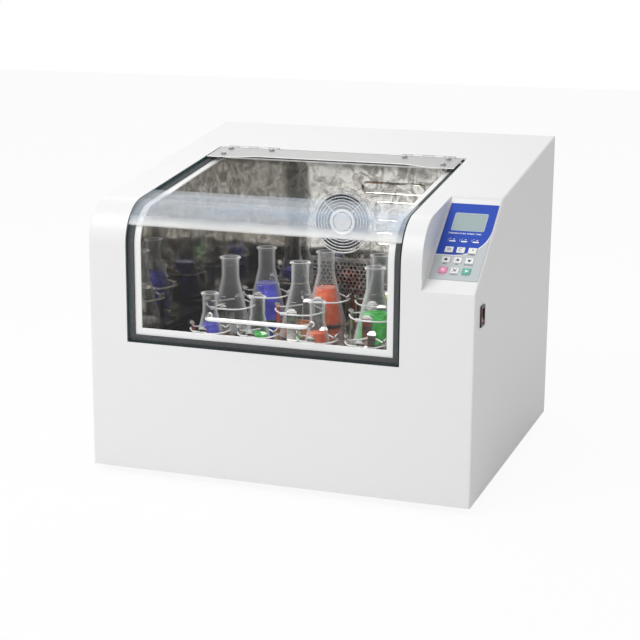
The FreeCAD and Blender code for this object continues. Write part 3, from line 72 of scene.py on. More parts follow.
class Body(Enum):
    """The moving bodies that pieces ride on."""

    CABINET = "cabinet"
    LID = "lid"
    PLATFORM = "platform"
    FAN = "fan_impeller"
    ROCKER = "rocker"
    MODE_KEY = "mode_key"
    SPEED_KEY = "speed_key"
    TIMER_KEY = "timer_key"
    ROUND_KEY = "round_key"
    UP_KEY = "up_key"
    DOWN_KEY = "down_key"
    STOP_KEY = "stop_key"
    LIGHT_KEY = "light_key"
    START_KEY = "start_key"


def math_step(operation: str, swapped: bool = False) -> Callable[..., "Wire"]:
    """Make a method that adds one Math node.

    Args:
        operation: name of the Math operation.
        swapped: True when the wire is the second value.

    Returns:
        The method, which takes the other value and gives the node's output.
    """
    def step(wire: "Wire", other: "Number" = 0.0) -> "Wire":
        """Add the node after a wire."""
        first, second = (other, wire) if swapped else (wire, other)
        return wire.graph.node("ShaderNodeMath", {"operation": operation}, {0: first, 1: second})

    return step


class Wire:
    """A node socket that takes part in ordinary arithmetic."""

    __add__ = __radd__ = math_step("ADD")
    __sub__ = math_step("SUBTRACT")
    __rsub__ = math_step("SUBTRACT", swapped=True)
    __mul__ = __rmul__ = math_step("MULTIPLY")
    __truediv__ = math_step("DIVIDE")
    __pow__ = math_step("POWER")
    __mod__ = math_step("FLOORED_MODULO")
    below = math_step("LESS_THAN")
    most = math_step("MAXIMUM")
    angle_from = math_step("ARCTAN2")
    rounded = math_step("ROUND")

    def __init__(self, graph: "Graph", socket: bpy.types.NodeSocket) -> None:
        """Keep the graph and the socket together."""
        self.graph = graph
        self.socket = socket

    def ramp(self, low: float, high: float) -> "Wire":
        """Smooth step from 0 at low to 1 at high."""
        return self.graph.node("ShaderNodeMapRange", {"interpolation_type": "SMOOTHSTEP"},
                               {"Value": self, "From Min": low, "From Max": high})


Number = Union[float, Wire]


class Graph:
    """A node tree that nodes are added to through one method."""

    def __init__(self, tree: bpy.types.NodeTree) -> None:
        """Wrap a node tree."""
        self.tree = tree

    def node(self, kind: str, settings: Optional[dict[str, Any]] = None,
             values: Optional[dict[Any, Any]] = None, out: Union[int, str] = 0) -> Wire:
        """Add one node.

        Args:
            kind: the node's type.
            settings: properties that are set before the sockets.
            values: numbers, colours or wires by socket name or number.
            out: which output to hand back.

        Returns:
            The chosen output as a wire.
        """
        item = self.tree.nodes.new(kind)
        for key, value in (settings or {}).items():
            setattr(item, key, value)
        for key, value in (values or {}).items():
            socket = item.inputs[key]
            if isinstance(value, Wire):
                self.tree.links.new(value.socket, socket)
            else:
                socket.default_value = value
        return Wire(self, item.outputs[out])

    def blend(self, share: Number, first: Any, second: Any) -> Wire:
        """Mix two colours by a share of the second."""
        return self.node("ShaderNodeMix", {"data_type": "RGBA"}, {0: share, 6: first, 7: second}, out=2)


class Surface(Graph):
    """A material under construction round one Principled shader."""

    def __init__(self, name: str, color: Color, **constants: Any) -> None:
        """Start the material.

        Args:
            name: material name.
            color: base colour.
            constants: values of the shader's own sockets, with spaces as underscores.
        """
        self.material = bpy.data.materials.new(name)
        self.material.use_nodes = True
        self.material.diffuse_color = color
        super().__init__(self.material.node_tree)
        self.tree.nodes.clear()
        self.shader = self.tree.nodes.new("ShaderNodeBsdfPrincipled")
        output = self.tree.nodes.new("ShaderNodeOutputMaterial")
        self.tree.links.new(self.shader.outputs[0], output.inputs["Surface"])
        self.feed("Base Color", color)
        for key, value in constants.items():
            self.feed(key.replace("_", " "), value)

    def feed(self, socket: str, value: Any) -> "Surface":
        """Give a socket of the shader a value or a wire."""
        target = self.shader.inputs[socket]
        if isinstance(value, Wire):
            self.tree.links.new(value.socket, target)
        else:
            target.default_value = value
        return self

    def place(self) -> Wire:
        """Object coordinates."""
        return self.node("ShaderNodeTexCoord", out="Object")

    def axes(self) -> tuple[Wire, Wire, Wire]:
        """Object coordinates one by one."""
        split = self.node("ShaderNodeSeparateXYZ", values={0: self.place()})
        sockets = split.socket.node.outputs
        return tuple(Wire(self, sockets[number]) for number in range(3))

    def noise(self, scale: float, detail: float = 2.0, stretch: Vector = Vector((1, 1, 1))) -> Wire:
        """Noise on object coordinates, drawn out along axes."""
        mapped = self.node("ShaderNodeMapping", values={"Vector": self.place(), "Scale": stretch})
        return self.node("ShaderNodeTexNoise", values={"Vector": mapped, "Scale": scale, "Detail": detail})

    def relief(self, height: Wire, strength: float, depth: float) -> "Surface":
        """Feed a bump into the shader's normal."""
        return self.feed("Normal", self.node("ShaderNodeBump", values={
            "Strength": strength, "Distance": depth, "Height": height}))


@dataclass(frozen=True)
class Finish:
    """A named look that makes its own material."""

    name: str
    color: Color

    def material(self) -> bpy.types.Material:
        """The finished material."""
        raise NotImplementedError


@dataclass(frozen=True)
class Paint(Finish):
    """Sprayed coat or moulded plastic with a fine grain."""

    roughness: float = 0.4
    grain: float = 0.05
    grain_scale: float = 900.0
    coat: float = 0.0
    coat_roughness: float = 0.12
    mottle: float = 0.12
    mottle_scale: float = 7.0
    grain_depth: float = 0.2 * MM

    def material(self) -> bpy.types.Material:
        """The finished material."""
        surface = Surface(self.name, self.color, Coat_Weight=self.coat, Coat_Roughness=self.coat_roughness)
        mottle = surface.noise(self.mottle_scale, detail=3.0)
        surface.feed("Roughness", self.roughness + (mottle - 0.5) * self.mottle)
        surface.relief(surface.noise(self.grain_scale), self.grain, self.grain_depth)
        return surface.material


@dataclass(frozen=True)
class Metal(Finish):
    """Bare or polished metal, brushed along one axis."""

    roughness: float = 0.25
    brushing: float = 0.1
    along: Triple = (1.0, 1.0, 1.0)
    waviness: float = 0.0
    shade: Optional[Color] = None
    shade_scale: float = 16.0
    # x span over which the painted shade fades out
    painted_shade_side: Optional[tuple[float, float]] = None
    line_scale: float = 420.0
    line_relief: float = 0.3
    line_depth: float = 0.1 * MM
    wave_scale: float = 9.0
    wave_depth: float = 4.0 * MM
    smoothest: float = 0.02
    cloud_range: tuple[float, float] = (0.36, 0.62)
    shaded_side_share: float = 0.55

    def material(self) -> bpy.types.Material:
        """The finished material."""
        surface = Surface(self.name, self.color, Metallic=1.0)
        lines = surface.noise(self.line_scale, detail=3.0, stretch=Vector(self.along))
        surface.feed("Roughness", (self.roughness + (lines - 0.5) * self.brushing).most(self.smoothest))
        if self.shade is not None:
            surface.feed("Base Color", self.clouded(surface))
        if self.waviness > 0:
            surface.relief(surface.noise(self.wave_scale, detail=1.0), self.waviness, self.wave_depth)
        else:
            surface.relief(lines, self.brushing * self.line_relief, self.line_depth)
        return surface.material

    def clouded(self, surface: Surface) -> Wire:
        """Cloudy film on the polish, with painted shade that darkens it towards one side.

        Args:
            surface: the material under construction.

        Returns:
            The metal's colour.
        """
        swirl = surface.node("ShaderNodeTexNoise", values={
            "Vector": surface.place(), "Scale": self.shade_scale, "Detail": 5.0, "Roughness": 0.62,
            "Distortion": 1.6})
        cloud = swirl.ramp(*self.cloud_range)
        # painted shade: the colour darkens towards low x, as shade falls on that side of the tub and tray
        if self.painted_shade_side is not None:
            lit = surface.axes()[0].ramp(*self.painted_shade_side)
            cloud = cloud * (self.shaded_side_share + lit * (1 - self.shaded_side_share))
        return surface.blend(cloud, self.shade, self.color)


@dataclass(frozen=True)
class Foam(Finish):
    """Open-pored rubber or mineral wool."""

    pores: float = 1500.0
    contrast: float = 0.5
    pore_range: tuple[float, float] = (0.35, 0.65)
    relief: float = 0.4
    depth: float = 0.5 * MM

    def material(self) -> bpy.types.Material:
        """The finished material."""
        surface = Surface(self.name, self.color, Roughness=0.85, Specular_IOR_Level=0.3)
        pores = surface.noise(self.pores, detail=4.0)
        dark = [part * (1 - self.contrast) for part in self.color[:3]]
        surface.feed("Base Color", surface.blend(pores.ramp(*self.pore_range), (*dark, 1.0), self.color))
        surface.relief(pores, self.relief, self.depth)
        return surface.material


@dataclass(frozen=True)
class ClearWall(Finish):
    """Thin clear glass that turns denser where it is seen edge on."""

    face_density: float = 0.08
    edge_density: float = 0.85
    falloff: float = 2.0

    def material(self) -> bpy.types.Material:
        """The finished material."""
        surface = Surface(self.name, self.color, Roughness=0.03, IOR=1.5)
        facing = surface.node("ShaderNodeLayerWeight", values={"Blend": 0.5}, out="Facing")
        density = self.face_density + (facing ** self.falloff) * (self.edge_density - self.face_density)
        surface.feed("Alpha", density)
        return surface.material


@dataclass(frozen=True)
class Liquid(Finish):
    """Coloured culture medium with pale swirls, densest where it is seen edge on."""

    density: float = 0.93
    swirl_scale: float = 60.0
    swirl_range: tuple[float, float] = (0.4, 0.75)
    lightening: float = 1.9
    whitening: float = 0.06

    def material(self) -> bpy.types.Material:
        """The finished material."""
        surface = Surface(self.name, self.color, Roughness=0.06, IOR=1.34, Coat_Weight=0.6)
        swirl = surface.noise(self.swirl_scale).ramp(*self.swirl_range)
        pale = [min(1.0, part * self.lightening + self.whitening) for part in self.color[:3]]
        surface.feed("Base Color", surface.blend(swirl, self.color, (*pale, 1.0)))
        facing = surface.node("ShaderNodeLayerWeight", values={"Blend": 0.4}, out="Facing")
        surface.feed("Alpha", self.density + facing * (1 - self.density))
        return surface.material


@dataclass(frozen=True)
class BentSheet(Finish):
    """Clear acrylic with a painted reflection: a pale, streaked band over the bend, whiter at its foot."""

    centre: Vector
    low_angle: float
    high_run: float
    slope: float
    face_density: float = 0.012
    painted_reflection: float = 0.27
    painted_foot_reflection: float = 0.2
    foot_turn: float = math.radians(18.0)
    streak: float = 0.3
    streak_scale: float = 26.0
    streak_range: tuple[float, float] = (0.3, 0.7)
    chill: tuple[float, float] = (0.82, 0.9)
    low_blur: float = 0.012
    high_blur: float = 1.0 * MM

    def material(self) -> bpy.types.Material:
        """The finished material."""
        surface = Surface(self.name, self.color, Roughness=0.04, IOR=1.49)
        _, back, up = surface.axes()
        away = self.centre.y - back
        rise = up - self.centre.z
        turn = rise.angle_from(away)
        run = rise * math.sin(self.slope) - away * math.cos(self.slope)
        # painted reflection: a pale band across the bend stands in for the sky reflected there
        over_foot = turn.ramp(self.low_angle - self.low_blur, self.low_angle + self.low_blur)
        bend = over_foot * (1.0 - run.ramp(self.high_run - self.high_blur, self.high_run + self.high_blur))
        streaks = surface.noise(self.streak_scale, detail=3.0, stretch=Vector((0.25, 1.0, 1.0)))
        # the painted reflection is whiter near the foot of the bend
        foot = 1.0 - turn.ramp(self.low_angle, self.low_angle + self.foot_turn)
        painted_reflection_band = bend * (self.painted_reflection + (streaks - 0.5) * self.streak + foot * self.painted_foot_reflection)
        surface.feed("Alpha", self.face_density + painted_reflection_band)
        cold = (self.color[0] * self.chill[0], self.color[1] * self.chill[1], self.color[2], 1.0)
        tint = surface.blend(streaks.ramp(*self.streak_range), self.color, cold)
        surface.feed("Base Color", surface.blend(foot, tint, grey(0.95)))
        return surface.material


@dataclass(frozen=True)
class PanelPrint(Finish):
    """Membrane overlay: blue field with a curved foot over light grey."""

    blue: Color
    line: Color
    origin: Vector
    up_slope: Vector
    foot: float
    shoulder: float
    curve_x: float
    curve_width: float
    line_reach: float = 1.07
    grain: float = 0.04
    grain_scale: float = 1200.0
    grain_depth: float = 0.1 * MM

    def material(self) -> bpy.types.Material:
        """The finished material."""
        surface = Surface(self.name, self.color, Roughness=0.5, Specular_IOR_Level=0.3)
        across, back, up = surface.axes()
        run = (back - self.origin.y) * self.up_slope.y + (up - self.origin.z) * self.up_slope.z
        side = ((across - self.curve_x) / self.curve_width).most(0.0)
        drop = ((self.shoulder - run) / (self.shoulder - self.foot)).most(0.0)
        reach = side ** 2.0 + drop ** 2.0
        inside = reach.below(1.0)
        edge = reach.below(self.line_reach)
        base = surface.blend(edge, self.color, self.line)
        surface.feed("Base Color", surface.blend(inside, base, self.blue))
        surface.relief(surface.noise(self.grain_scale), self.grain, self.grain_depth)
        return surface.material


@dataclass(frozen=True)
class PaleFloor(Finish):
    """Matt studio floor that the camera sees nearly white, with the shadow kept."""

    lift: float = 0.93

    def material(self) -> bpy.types.Material:
        """The finished material."""
        surface = Surface(self.name, self.color, Roughness=0.9)
        seen = surface.node("ShaderNodeLightPath", out="Is Camera Ray")
        glow = surface.node("ShaderNodeEmission", values={"Color": (1.0, 1.0, 1.0, 1.0), "Strength": 1.0})
        mixed = surface.node("ShaderNodeMixShader", values={
            0: seen * self.lift, 1: Wire(surface, surface.shader.outputs[0]), 2: glow})
        output = next(item for item in surface.tree.nodes if item.type == "OUTPUT_MATERIAL")
        surface.tree.links.new(mixed.socket, output.inputs["Surface"])
        return surface.material


@dataclass(frozen=True)
class Board(Finish):
    """Green circuit board with paler tracks."""

    track: Color
    lanes_per_metre: float = 400.0
    lane_width: float = 0.3
    lane_density: float = 0.6

    def material(self) -> bpy.types.Material:
        """The finished material."""
        surface = Surface(self.name, self.color, Roughness=0.35)
        lanes = ((surface.axes()[0] * self.lanes_per_metre) % 1.0).below(self.lane_width)
        surface.feed("Base Color", surface.blend(lanes * self.lane_density, self.color, self.track))
        return surface.material


def grey(value: float) -> Color:
    """A neutral colour."""
    return (value, value, value, 1.0)


class Palette:
    """Every finish of the shaker, made once and shared."""

    def __init__(self) -> None:
        """Start with no materials made."""
        self.made: dict[str, bpy.types.Material] = {}
        self.finishes: dict[str, Finish] = {item.name: item for item in self.plain()}

    def plain(self) -> list[Finish]:
        """The finishes that need nothing from the frame."""
        return [
            Paint("powder_white", (0.86, 0.86, 0.865, 1.0), roughness=0.42, grain=0.035, grain_scale=700.0,
                  coat=0.15),
            Paint("pan_grey", grey(0.42), roughness=0.5),
            Paint("seat_white", (0.93, 0.93, 0.93, 1.0), roughness=0.3, grain=0.02, grain_scale=700.0,
                  coat=0.2),
            Foam("seal_foam", (0.085, 0.09, 0.093, 1.0), pores=900.0, contrast=0.35),
            # mirror_steel and tray_steel carry painted shade that darkens them towards low x
            Metal("mirror_steel", (0.86, 0.84, 0.79, 1.0), roughness=0.06, brushing=0.05,
                  along=(1.0, 1.0, 12.0), waviness=0.22, shade=(0.32, 0.3, 0.265, 1.0), shade_scale=34.0,
                  painted_shade_side=(-0.26, 0.08)),
            Foam("wool_mat", (0.75, 0.68, 0.45, 1.0), pores=600.0),
            Paint("foot_rubber", grey(0.03), roughness=0.7, grain=0.1),
            Paint("drive_grey", grey(0.25), roughness=0.5),
            Paint("motor_black", grey(0.04), roughness=0.4),
            Metal("cast_iron", grey(0.3), roughness=0.5, brushing=0.2),
            Metal("shaft_steel", grey(0.62), roughness=0.22),
            Metal("cast_aluminium", (0.75, 0.76, 0.77, 1.0), roughness=0.35, brushing=0.15),
            Paint("belt_rubber", grey(0.02), roughness=0.75, grain=0.1),
            Metal("tray_steel", (0.8, 0.78, 0.75, 1.0), roughness=0.2, brushing=0.1, along=(12.0, 1.0, 1.0),
                  waviness=0.14, shade=(0.38, 0.36, 0.33, 1.0), shade_scale=40.0, painted_shade_side=(-0.2, 0.1)),
            Paint("knob_black", grey(0.025), roughness=0.35, grain=0.03),
            Metal("clamp_steel", (0.8, 0.79, 0.78, 1.0), roughness=0.14, brushing=0.1),
            Paint("spring_bright", (0.84, 0.85, 0.86, 1.0), roughness=0.2, grain=0.0, grain_scale=700.0,
                  coat=0.7),
            ClearWall("flask_glass", (0.95, 0.97, 0.98, 1.0), face_density=0.03, edge_density=0.95,
                      falloff=2.3),
            Liquid("medium_blue", (0.02, 0.022, 0.56, 1.0)),
            Liquid("medium_green", (0.02, 0.58, 0.05, 1.0)),
            Liquid("medium_orange", (0.95, 0.1, 0.004, 1.0)),
            Liquid("medium_amber", (0.4, 0.13, 0.02, 1.0), density=0.85),
            Liquid("medium_yellow", (0.68, 0.66, 0.05, 1.0)),
            Paint("sheet_edge", (0.012, 0.06, 0.065, 1.0), roughness=0.15, grain=0.0),
            Metal("bar_chrome", (0.88, 0.88, 0.88, 1.0), roughness=0.08, brushing=0.04),
            Metal("strip_steel", (0.42, 0.42, 0.415, 1.0), roughness=0.36, brushing=0.12,
                  along=(1.0, 12.0, 1.0)),
            Metal("screw_steel", grey(0.42), roughness=0.2, brushing=0.08),
            Metal("hinge_steel", grey(0.36), roughness=0.45),
            Paint("guard_chrome", (0.78, 0.79, 0.82, 1.0), roughness=0.18, grain=0.0, grain_scale=700.0,
                  coat=0.8),
            Paint("hub_white", grey(0.92), roughness=0.25, grain=0.0, grain_scale=700.0, coat=0.5),
            Paint("hub_grey", (0.74, 0.71, 0.72, 1.0), roughness=0.35, grain=0.3, grain_scale=500.0,
                  coat=0.3),
            Paint("fan_plastic", grey(0.06), roughness=0.35),
            Metal("fin_aluminium", grey(0.7), roughness=0.3),
            Paint("display_glass", (0.25, 0.34, 0.35, 1.0), roughness=0.12, grain=0.0, grain_scale=700.0,
                  coat=0.6),
            Paint("display_rim", (0.38, 0.5, 0.52, 1.0), roughness=0.3, grain=0.0),
            Board("board_green", (0.01, 0.12, 0.04, 1.0), (0.25, 0.45, 0.2, 1.0)),
            Paint("key_white", grey(0.88), roughness=0.4, grain=0.02),
            Paint("key_pink", (0.9, 0.28, 0.5, 1.0), roughness=0.4, grain=0.02),
            Paint("key_green", (0.1, 0.46, 0.36, 1.0), roughness=0.4, grain=0.02),
            Paint("print_white", grey(0.9), roughness=0.5, grain=0.0),
            Paint("print_black", grey(0.02), roughness=0.5, grain=0.0),
            Paint("print_magenta", (0.7, 0.02, 0.33, 1.0), roughness=0.5, grain=0.0),
            Paint("print_teal", (0.01, 0.25, 0.18, 1.0), roughness=0.5, grain=0.0),
            Paint("bezel_black", grey(0.015), roughness=0.3, grain=0.03),
            Paint("rocker_red", (0.4, 0.01, 0.015, 1.0), roughness=0.25, grain=0.0, grain_scale=700.0,
                  coat=0.15),
            Metal("supply_steel", grey(0.55), roughness=0.4),
            # painted shadow in the gap under the lid
            Paint("gap_shadow_black", grey(0.01), roughness=0.6, grain=0.0),
        ]

    def add(self, finish: Finish) -> None:
        """Take in a finish that is measured from the frame."""
        self.finishes[finish.name] = finish

    def get(self, name: str) -> bpy.types.Material:
        """The material of a finish, made on first use."""
        if name not in self.made:
            self.made[name] = self.finishes[name].material()
        return self.made[name]


PALETTE = Palette()


def linked(name: str, data: Any) -> bpy.types.Object:
    """A new object in the scene."""
    item = bpy.data.objects.new(name, data)
    bpy.context.scene.collection.objects.link(item)
    return item


def evaluated_mesh(host: bpy.types.Object) -> bpy.types.Mesh:
    """What an object looks like, as a plain mesh; the object is removed."""
    bpy.context.view_layer.update()
    graph = bpy.context.evaluated_depsgraph_get()
    mesh = bpy.data.meshes.new_from_object(host.evaluated_get(graph))
    bpy.data.objects.remove(host)
    return mesh


class Shape:
    """A mesh gathered from simple forms, in metres on the frame's axes."""

    def __init__(self) -> None:
        """Start empty."""
        self.points: list[Vector] = []
        self.faces: list[tuple[int, ...]] = []

    def add(self, points: Sequence[Vector], faces: Sequence[Sequence[int]]) -> "Shape":
        """Take in points and the faces between them."""
        start = len(self.points)
        self.points.extend(Vector(point) for point in points)
        self.faces.extend(tuple(start + index for index in face) for face in faces)
        return self

    def rings(self, loops: Sequence[Sequence[Vector]], closed: bool = False) -> "Shape":
        """Skin equal loops of points, with a face at open ends.

        Args:
            loops: loops of the same length, in order.
            closed: True when the last loop joins the first.

        Returns:
            This shape.
        """
        size = len(loops[0])
        points = [point for loop in loops for point in loop]
        faces: list[tuple[int, ...]] = []
        count = len(loops) if closed else len(loops) - 1
        for step in range(count):
            low = step * size
            high = (step + 1) % len(loops) * size
            for index in range(size):
                near = (index + 1) % size
                faces.append((low + index, low + near, high + near, high + index))
        if not closed:
            faces.append(tuple(range(size)))
            faces.append(tuple(len(points) - size + index for index in range(size)))
        return self.add(points, faces)

    def tube(self, path: Sequence[Vector], radius: float, sides: int, flat: Vector,
             closed: bool = False) -> "Shape":
        """Sweep a round section along a path.

        Args:
            path: points of the centre line.
            radius: radius of the section.
            sides: sides of the section.
            flat: direction that the path never runs along.
            closed: True for a loop.

        Returns:
            This shape.
        """
        loops = []
        last = len(path) - 1
        for index, point in enumerate(path):
            before = path[index - 1] if closed or index > 0 else path[0]
            after = path[(index + 1) % len(path)] if closed or index < last else path[last]
            way = (after - before).normalized()
            side = way.cross(flat).normalized()
            top = side.cross(way)
            loops.append([point + (side * math.cos(turn) + top * math.sin(turn)) * radius
                          for turn in turns(sides)])
        return self.rings(loops, closed)

    def lathe(self, profile: Outline, sides: int, foot: Vector, axis: Vector = UP,
              closed: bool = False) -> "Shape":
        """Turn a profile of (radius, height) about an axis.

        Args:
            profile: half outline; a radius of 0 makes a pole.
            sides: steps round the axis.
            foot: where height 0 is.
            axis: direction of the height.
            closed: True when the profile is a loop off the axis.

        Returns:
            This shape.
        """
        stand = axis.to_track_quat("Z", "Y").to_matrix()
        points: list[Vector] = []
        rows: list[list[int]] = []
        for radius, height in profile:
            if radius <= 0:
                rows.append([len(points)] * sides)
                points.append(foot + stand @ Vector((0, 0, height)))
                continue
            rows.append(list(range(len(points), len(points) + sides)))
            points.extend(
                foot + stand @ Vector((radius * math.cos(turn), radius * math.sin(turn), height))
                for turn in turns(sides))
        pairs = list(zip(rows, rows[1:]))
        if closed:
            pairs.append((rows[-1], rows[0]))
        faces: list[tuple[int, ...]] = []
        for low, high in pairs:
            for index in range(sides):
                near = (index + 1) % sides
                corners = [low[index], low[near], high[near], high[index]]
                faces.append(tuple(dict.fromkeys(corners)))
        return self.add(points, [face for face in faces if len(face) > 2])

    def block(self, low: Sequence[float], high: Sequence[float]) -> "Shape":
        """A block between two corners."""
        corners = [Vector((x, y, z)) for z in (low[2], high[2]) for x, y in (
            (low[0], low[1]), (high[0], low[1]), (high[0], high[1]), (low[0], high[1]))]
        return self.add(corners, [(3, 2, 1, 0), (4, 5, 6, 7), (0, 1, 5, 4), (1, 2, 6, 5), (2, 3, 7, 6),
                                  (3, 0, 4, 7)])

    def plate(self, outline: Sequence[Vector], thickness: Vector) -> "Shape":
        """A flat outline given a thickness."""
        return self.rings([list(outline), [point + thickness for point in outline]])

    def build(self, name: str, finish: str, crease: float = CREASE) -> bpy.types.Object:
        """Make the object.

        Args:
            name: object name.
            finish: name of its finish.
            crease: angle in degrees over which an edge stays sharp.

        Returns:
            The linked object.
        """
        mesh = bpy.data.meshes.new(name)
        mesh.from_pydata([tuple(point) for point in self.points], [], self.faces)
        work = bmesh.new()
        work.from_mesh(mesh)
        bmesh.ops.remove_doubles(work, verts=work.verts, dist=SEAM)
        bmesh.ops.recalc_face_normals(work, faces=work.faces)
        mark_creases(work, crease)
        work.to_mesh(mesh)
        work.free()
        mesh.materials.append(PALETTE.get(finish))
        return linked(name, mesh)


def turns(sides: int) -> list[float]:
    """Equal angles round a circle."""
    return [2 * math.pi * step / sides for step in range(sides)]


def mark_creases(work: bmesh.types.BMesh, crease: float = CREASE) -> None:
    """Shade everything smooth but the edges over an angle."""
    limit = math.radians(crease)
    for face in work.faces:
        face.smooth = True
    for edge in work.edges:
        edge.smooth = len(edge.link_faces) == 2 and edge.calc_face_angle(0.0) < limit


def rounded_path(corners: Sequence[Vector], radii: Sequence[float], steps: int = 6,
                 closed: bool = False) -> list[Vector]:
    """A line with its corners rounded.

    Args:
        corners: corner points in order.
        radii: radius at each corner; ends of an open line are ignored.
        steps: points per rounded corner.
        closed: True for a loop.

    Returns:
        Points along the line.
    """
    nearly_straight = math.radians(89)
    longest_share = 0.49
    path: list[Vector] = []
    count = len(corners)
    for index, corner in enumerate(corners):
        if radii[index] <= 0 or not closed and index in (0, count - 1):
            path.append(corner.copy())
            continue
        before = corners[index - 1] - corner
        after = corners[(index + 1) % count] - corner
        half = before.angle(after) / 2
        if half > nearly_straight:
            path.append(corner.copy())
            continue
        longest = longest_share * min(before.length, after.length)
        reach = min(radii[index] / math.tan(half), longest)
        radius = reach * math.tan(half)
        start, end = before.normalized(), after.normalized()
        middle = corner + (start + end).normalized() * (radius / math.sin(half))
        first = corner + start * reach - middle
        last = corner + end * reach - middle
        for step in range(steps + 1):
            path.append(middle + first.slerp(last, step / steps) * first.length)
    return path


def rounded_profile(corners: Outline, radii: Sequence[float], steps: int = 5) -> list[tuple[float, float]]:
    """A lathe profile with rounded corners."""
    path = rounded_path([Vector((radius, 0.0, height)) for radius, height in corners], radii, steps)
    return [(max(0.0, point.x), point.z) for point in path]


@dataclass(frozen=True)
class Profile:
    """Half outline of a turned piece, in millimetres."""

    corners: tuple[tuple[float, float], ...]
    radii: tuple[float, ...] = ()

    def points(self) -> list[tuple[float, float]]:
        """The outline in metres, with its corners rounded where radii are given."""
        corners = [(radius * MM, height * MM) for radius, height in self.corners]
        if not self.radii:
            return corners
        return rounded_profile(corners, [radius * MM for radius in self.radii])


def merged_copy(node: str) -> bmesh.types.BMesh:
    """A CAD node's mesh with its loose triangles joined into whole faces."""
    work = bmesh.new()
    work.from_mesh(frame["nodes"][node].data)
    bmesh.ops.remove_doubles(work, verts=work.verts, dist=WELD)
    bmesh.ops.dissolve_limit(work, angle_limit=FLAT, verts=work.verts, edges=work.edges)
    return work


def islands(node: str) -> list[Box]:
    """Boxes of a CAD node's separate solids."""
    work = merged_copy(node)
    left = set(work.verts)
    boxes = []
    while left:
        queue = [left.pop()]
        found = list(queue)
        while queue:
            vert = queue.pop()
            for edge in vert.link_edges:
                other = edge.other_vert(vert)
                if other in left:
                    left.discard(other)
                    queue.append(other)
                    found.append(other)
        low = Vector(min(vert.co[axis] for vert in found) for axis in range(3))
        high = Vector(max(vert.co[axis] for vert in found) for axis in range(3))
        boxes.append((low, high))
    work.free()
    return sorted(boxes, key=lambda pair: (round(pair[0].z, 4), round(pair[0].y, 4), pair[0].x))


def centre_of(pair: Box) -> Vector:
    """Middle of a box."""
    return (pair[0] + pair[1]) / 2


def at_height(pair: Box, height: float) -> Vector:
    """Middle of a box, moved to a height."""
    middle = centre_of(pair)
    return Vector((middle.x, middle.y, height))


def round_size(pair: Box) -> tuple[float, float]:
    """Radius and height of an upright round piece from its box."""
    low, high = pair
    return (high.x - low.x) / 2, high.z - low.z


EdgeRule = Callable[[bmesh.types.BMEdge], float]


def softened(node: str, finish: str, width: float, rule: Optional[EdgeRule] = None,
             segments: int = 2) -> bpy.types.Object:
    """A copy of a CAD node with its sharp edges broken.

    Args:
        node: CAD node.
        finish: name of the finish.
        width: widest bevel in metres.
        rule: share of the width for an edge; None gives every sharp edge the whole width.
        segments: bevel segments.

    Returns:
        The new object.
    """
    work = merged_copy(node)
    layer = work.edges.layers.float.new("bevel_weight_edge")
    for face in work.faces:
        face.smooth = True
    for edge in work.edges:
        sharp = len(edge.link_faces) == 2 and edge.calc_face_angle(0.0) > SHARP
        edge[layer] = (rule(edge) if rule else 1.0) if sharp else 0.0
    title = f"{node}_dressed"
    mesh = bpy.data.meshes.new(title)
    work.to_mesh(mesh)
    work.free()
    mesh.materials.append(PALETTE.get(finish))
    item = linked(title, mesh)
    bevel = item.modifiers.new("broken_edges", "BEVEL")
    bevel.limit_method = "WEIGHT"
    bevel.width = width
    bevel.segments = segments
    bevel.use_clamp_overlap = False
    bevel.harden_normals = True
    item.modifiers.new("even_shading", "WEIGHTED_NORMAL").keep_sharp = True
    return item


def seat(item: bpy.types.Object, body: Body, slot: str, *nodes: str) -> None:
    """Fix a finished piece to its body and report it.

    Args:
        item: the piece.
        body: what it moves with.
        slot: the record's material slot; not used.
        nodes: CAD nodes that it stands for.
    """
    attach(item, body.value)
    if nodes:
        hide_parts(*nodes)
    LOG.info("%s rides on %s, %d faces, for %s", item.name, body.value, len(item.data.polygons),
             ", ".join(nodes) or "detail")


def soften(node: str, finish: str, slot: str, width: float, body: Body = Body.CABINET,
           segments: int = 2) -> None:
    """Put a softened copy in a CAD node's place.

    Args:
        node: CAD node.
        finish: name of the finish.
        slot: the record's material slot.
        width: bevel in metres.
        body: what it moves with.
        segments: bevel segments.
    """
    seat(softened(node, finish, width, segments=segments), body, slot, node)


def dress_node(node: str, finish: str) -> None:
    """Give a CAD node that keeps its own mesh a finish."""
    mesh = frame["nodes"][node].data
    mesh.materials.clear()
    mesh.materials.append(PALETTE.get(finish))
    LOG.info("%s keeps its solid, finish %s", node, finish)


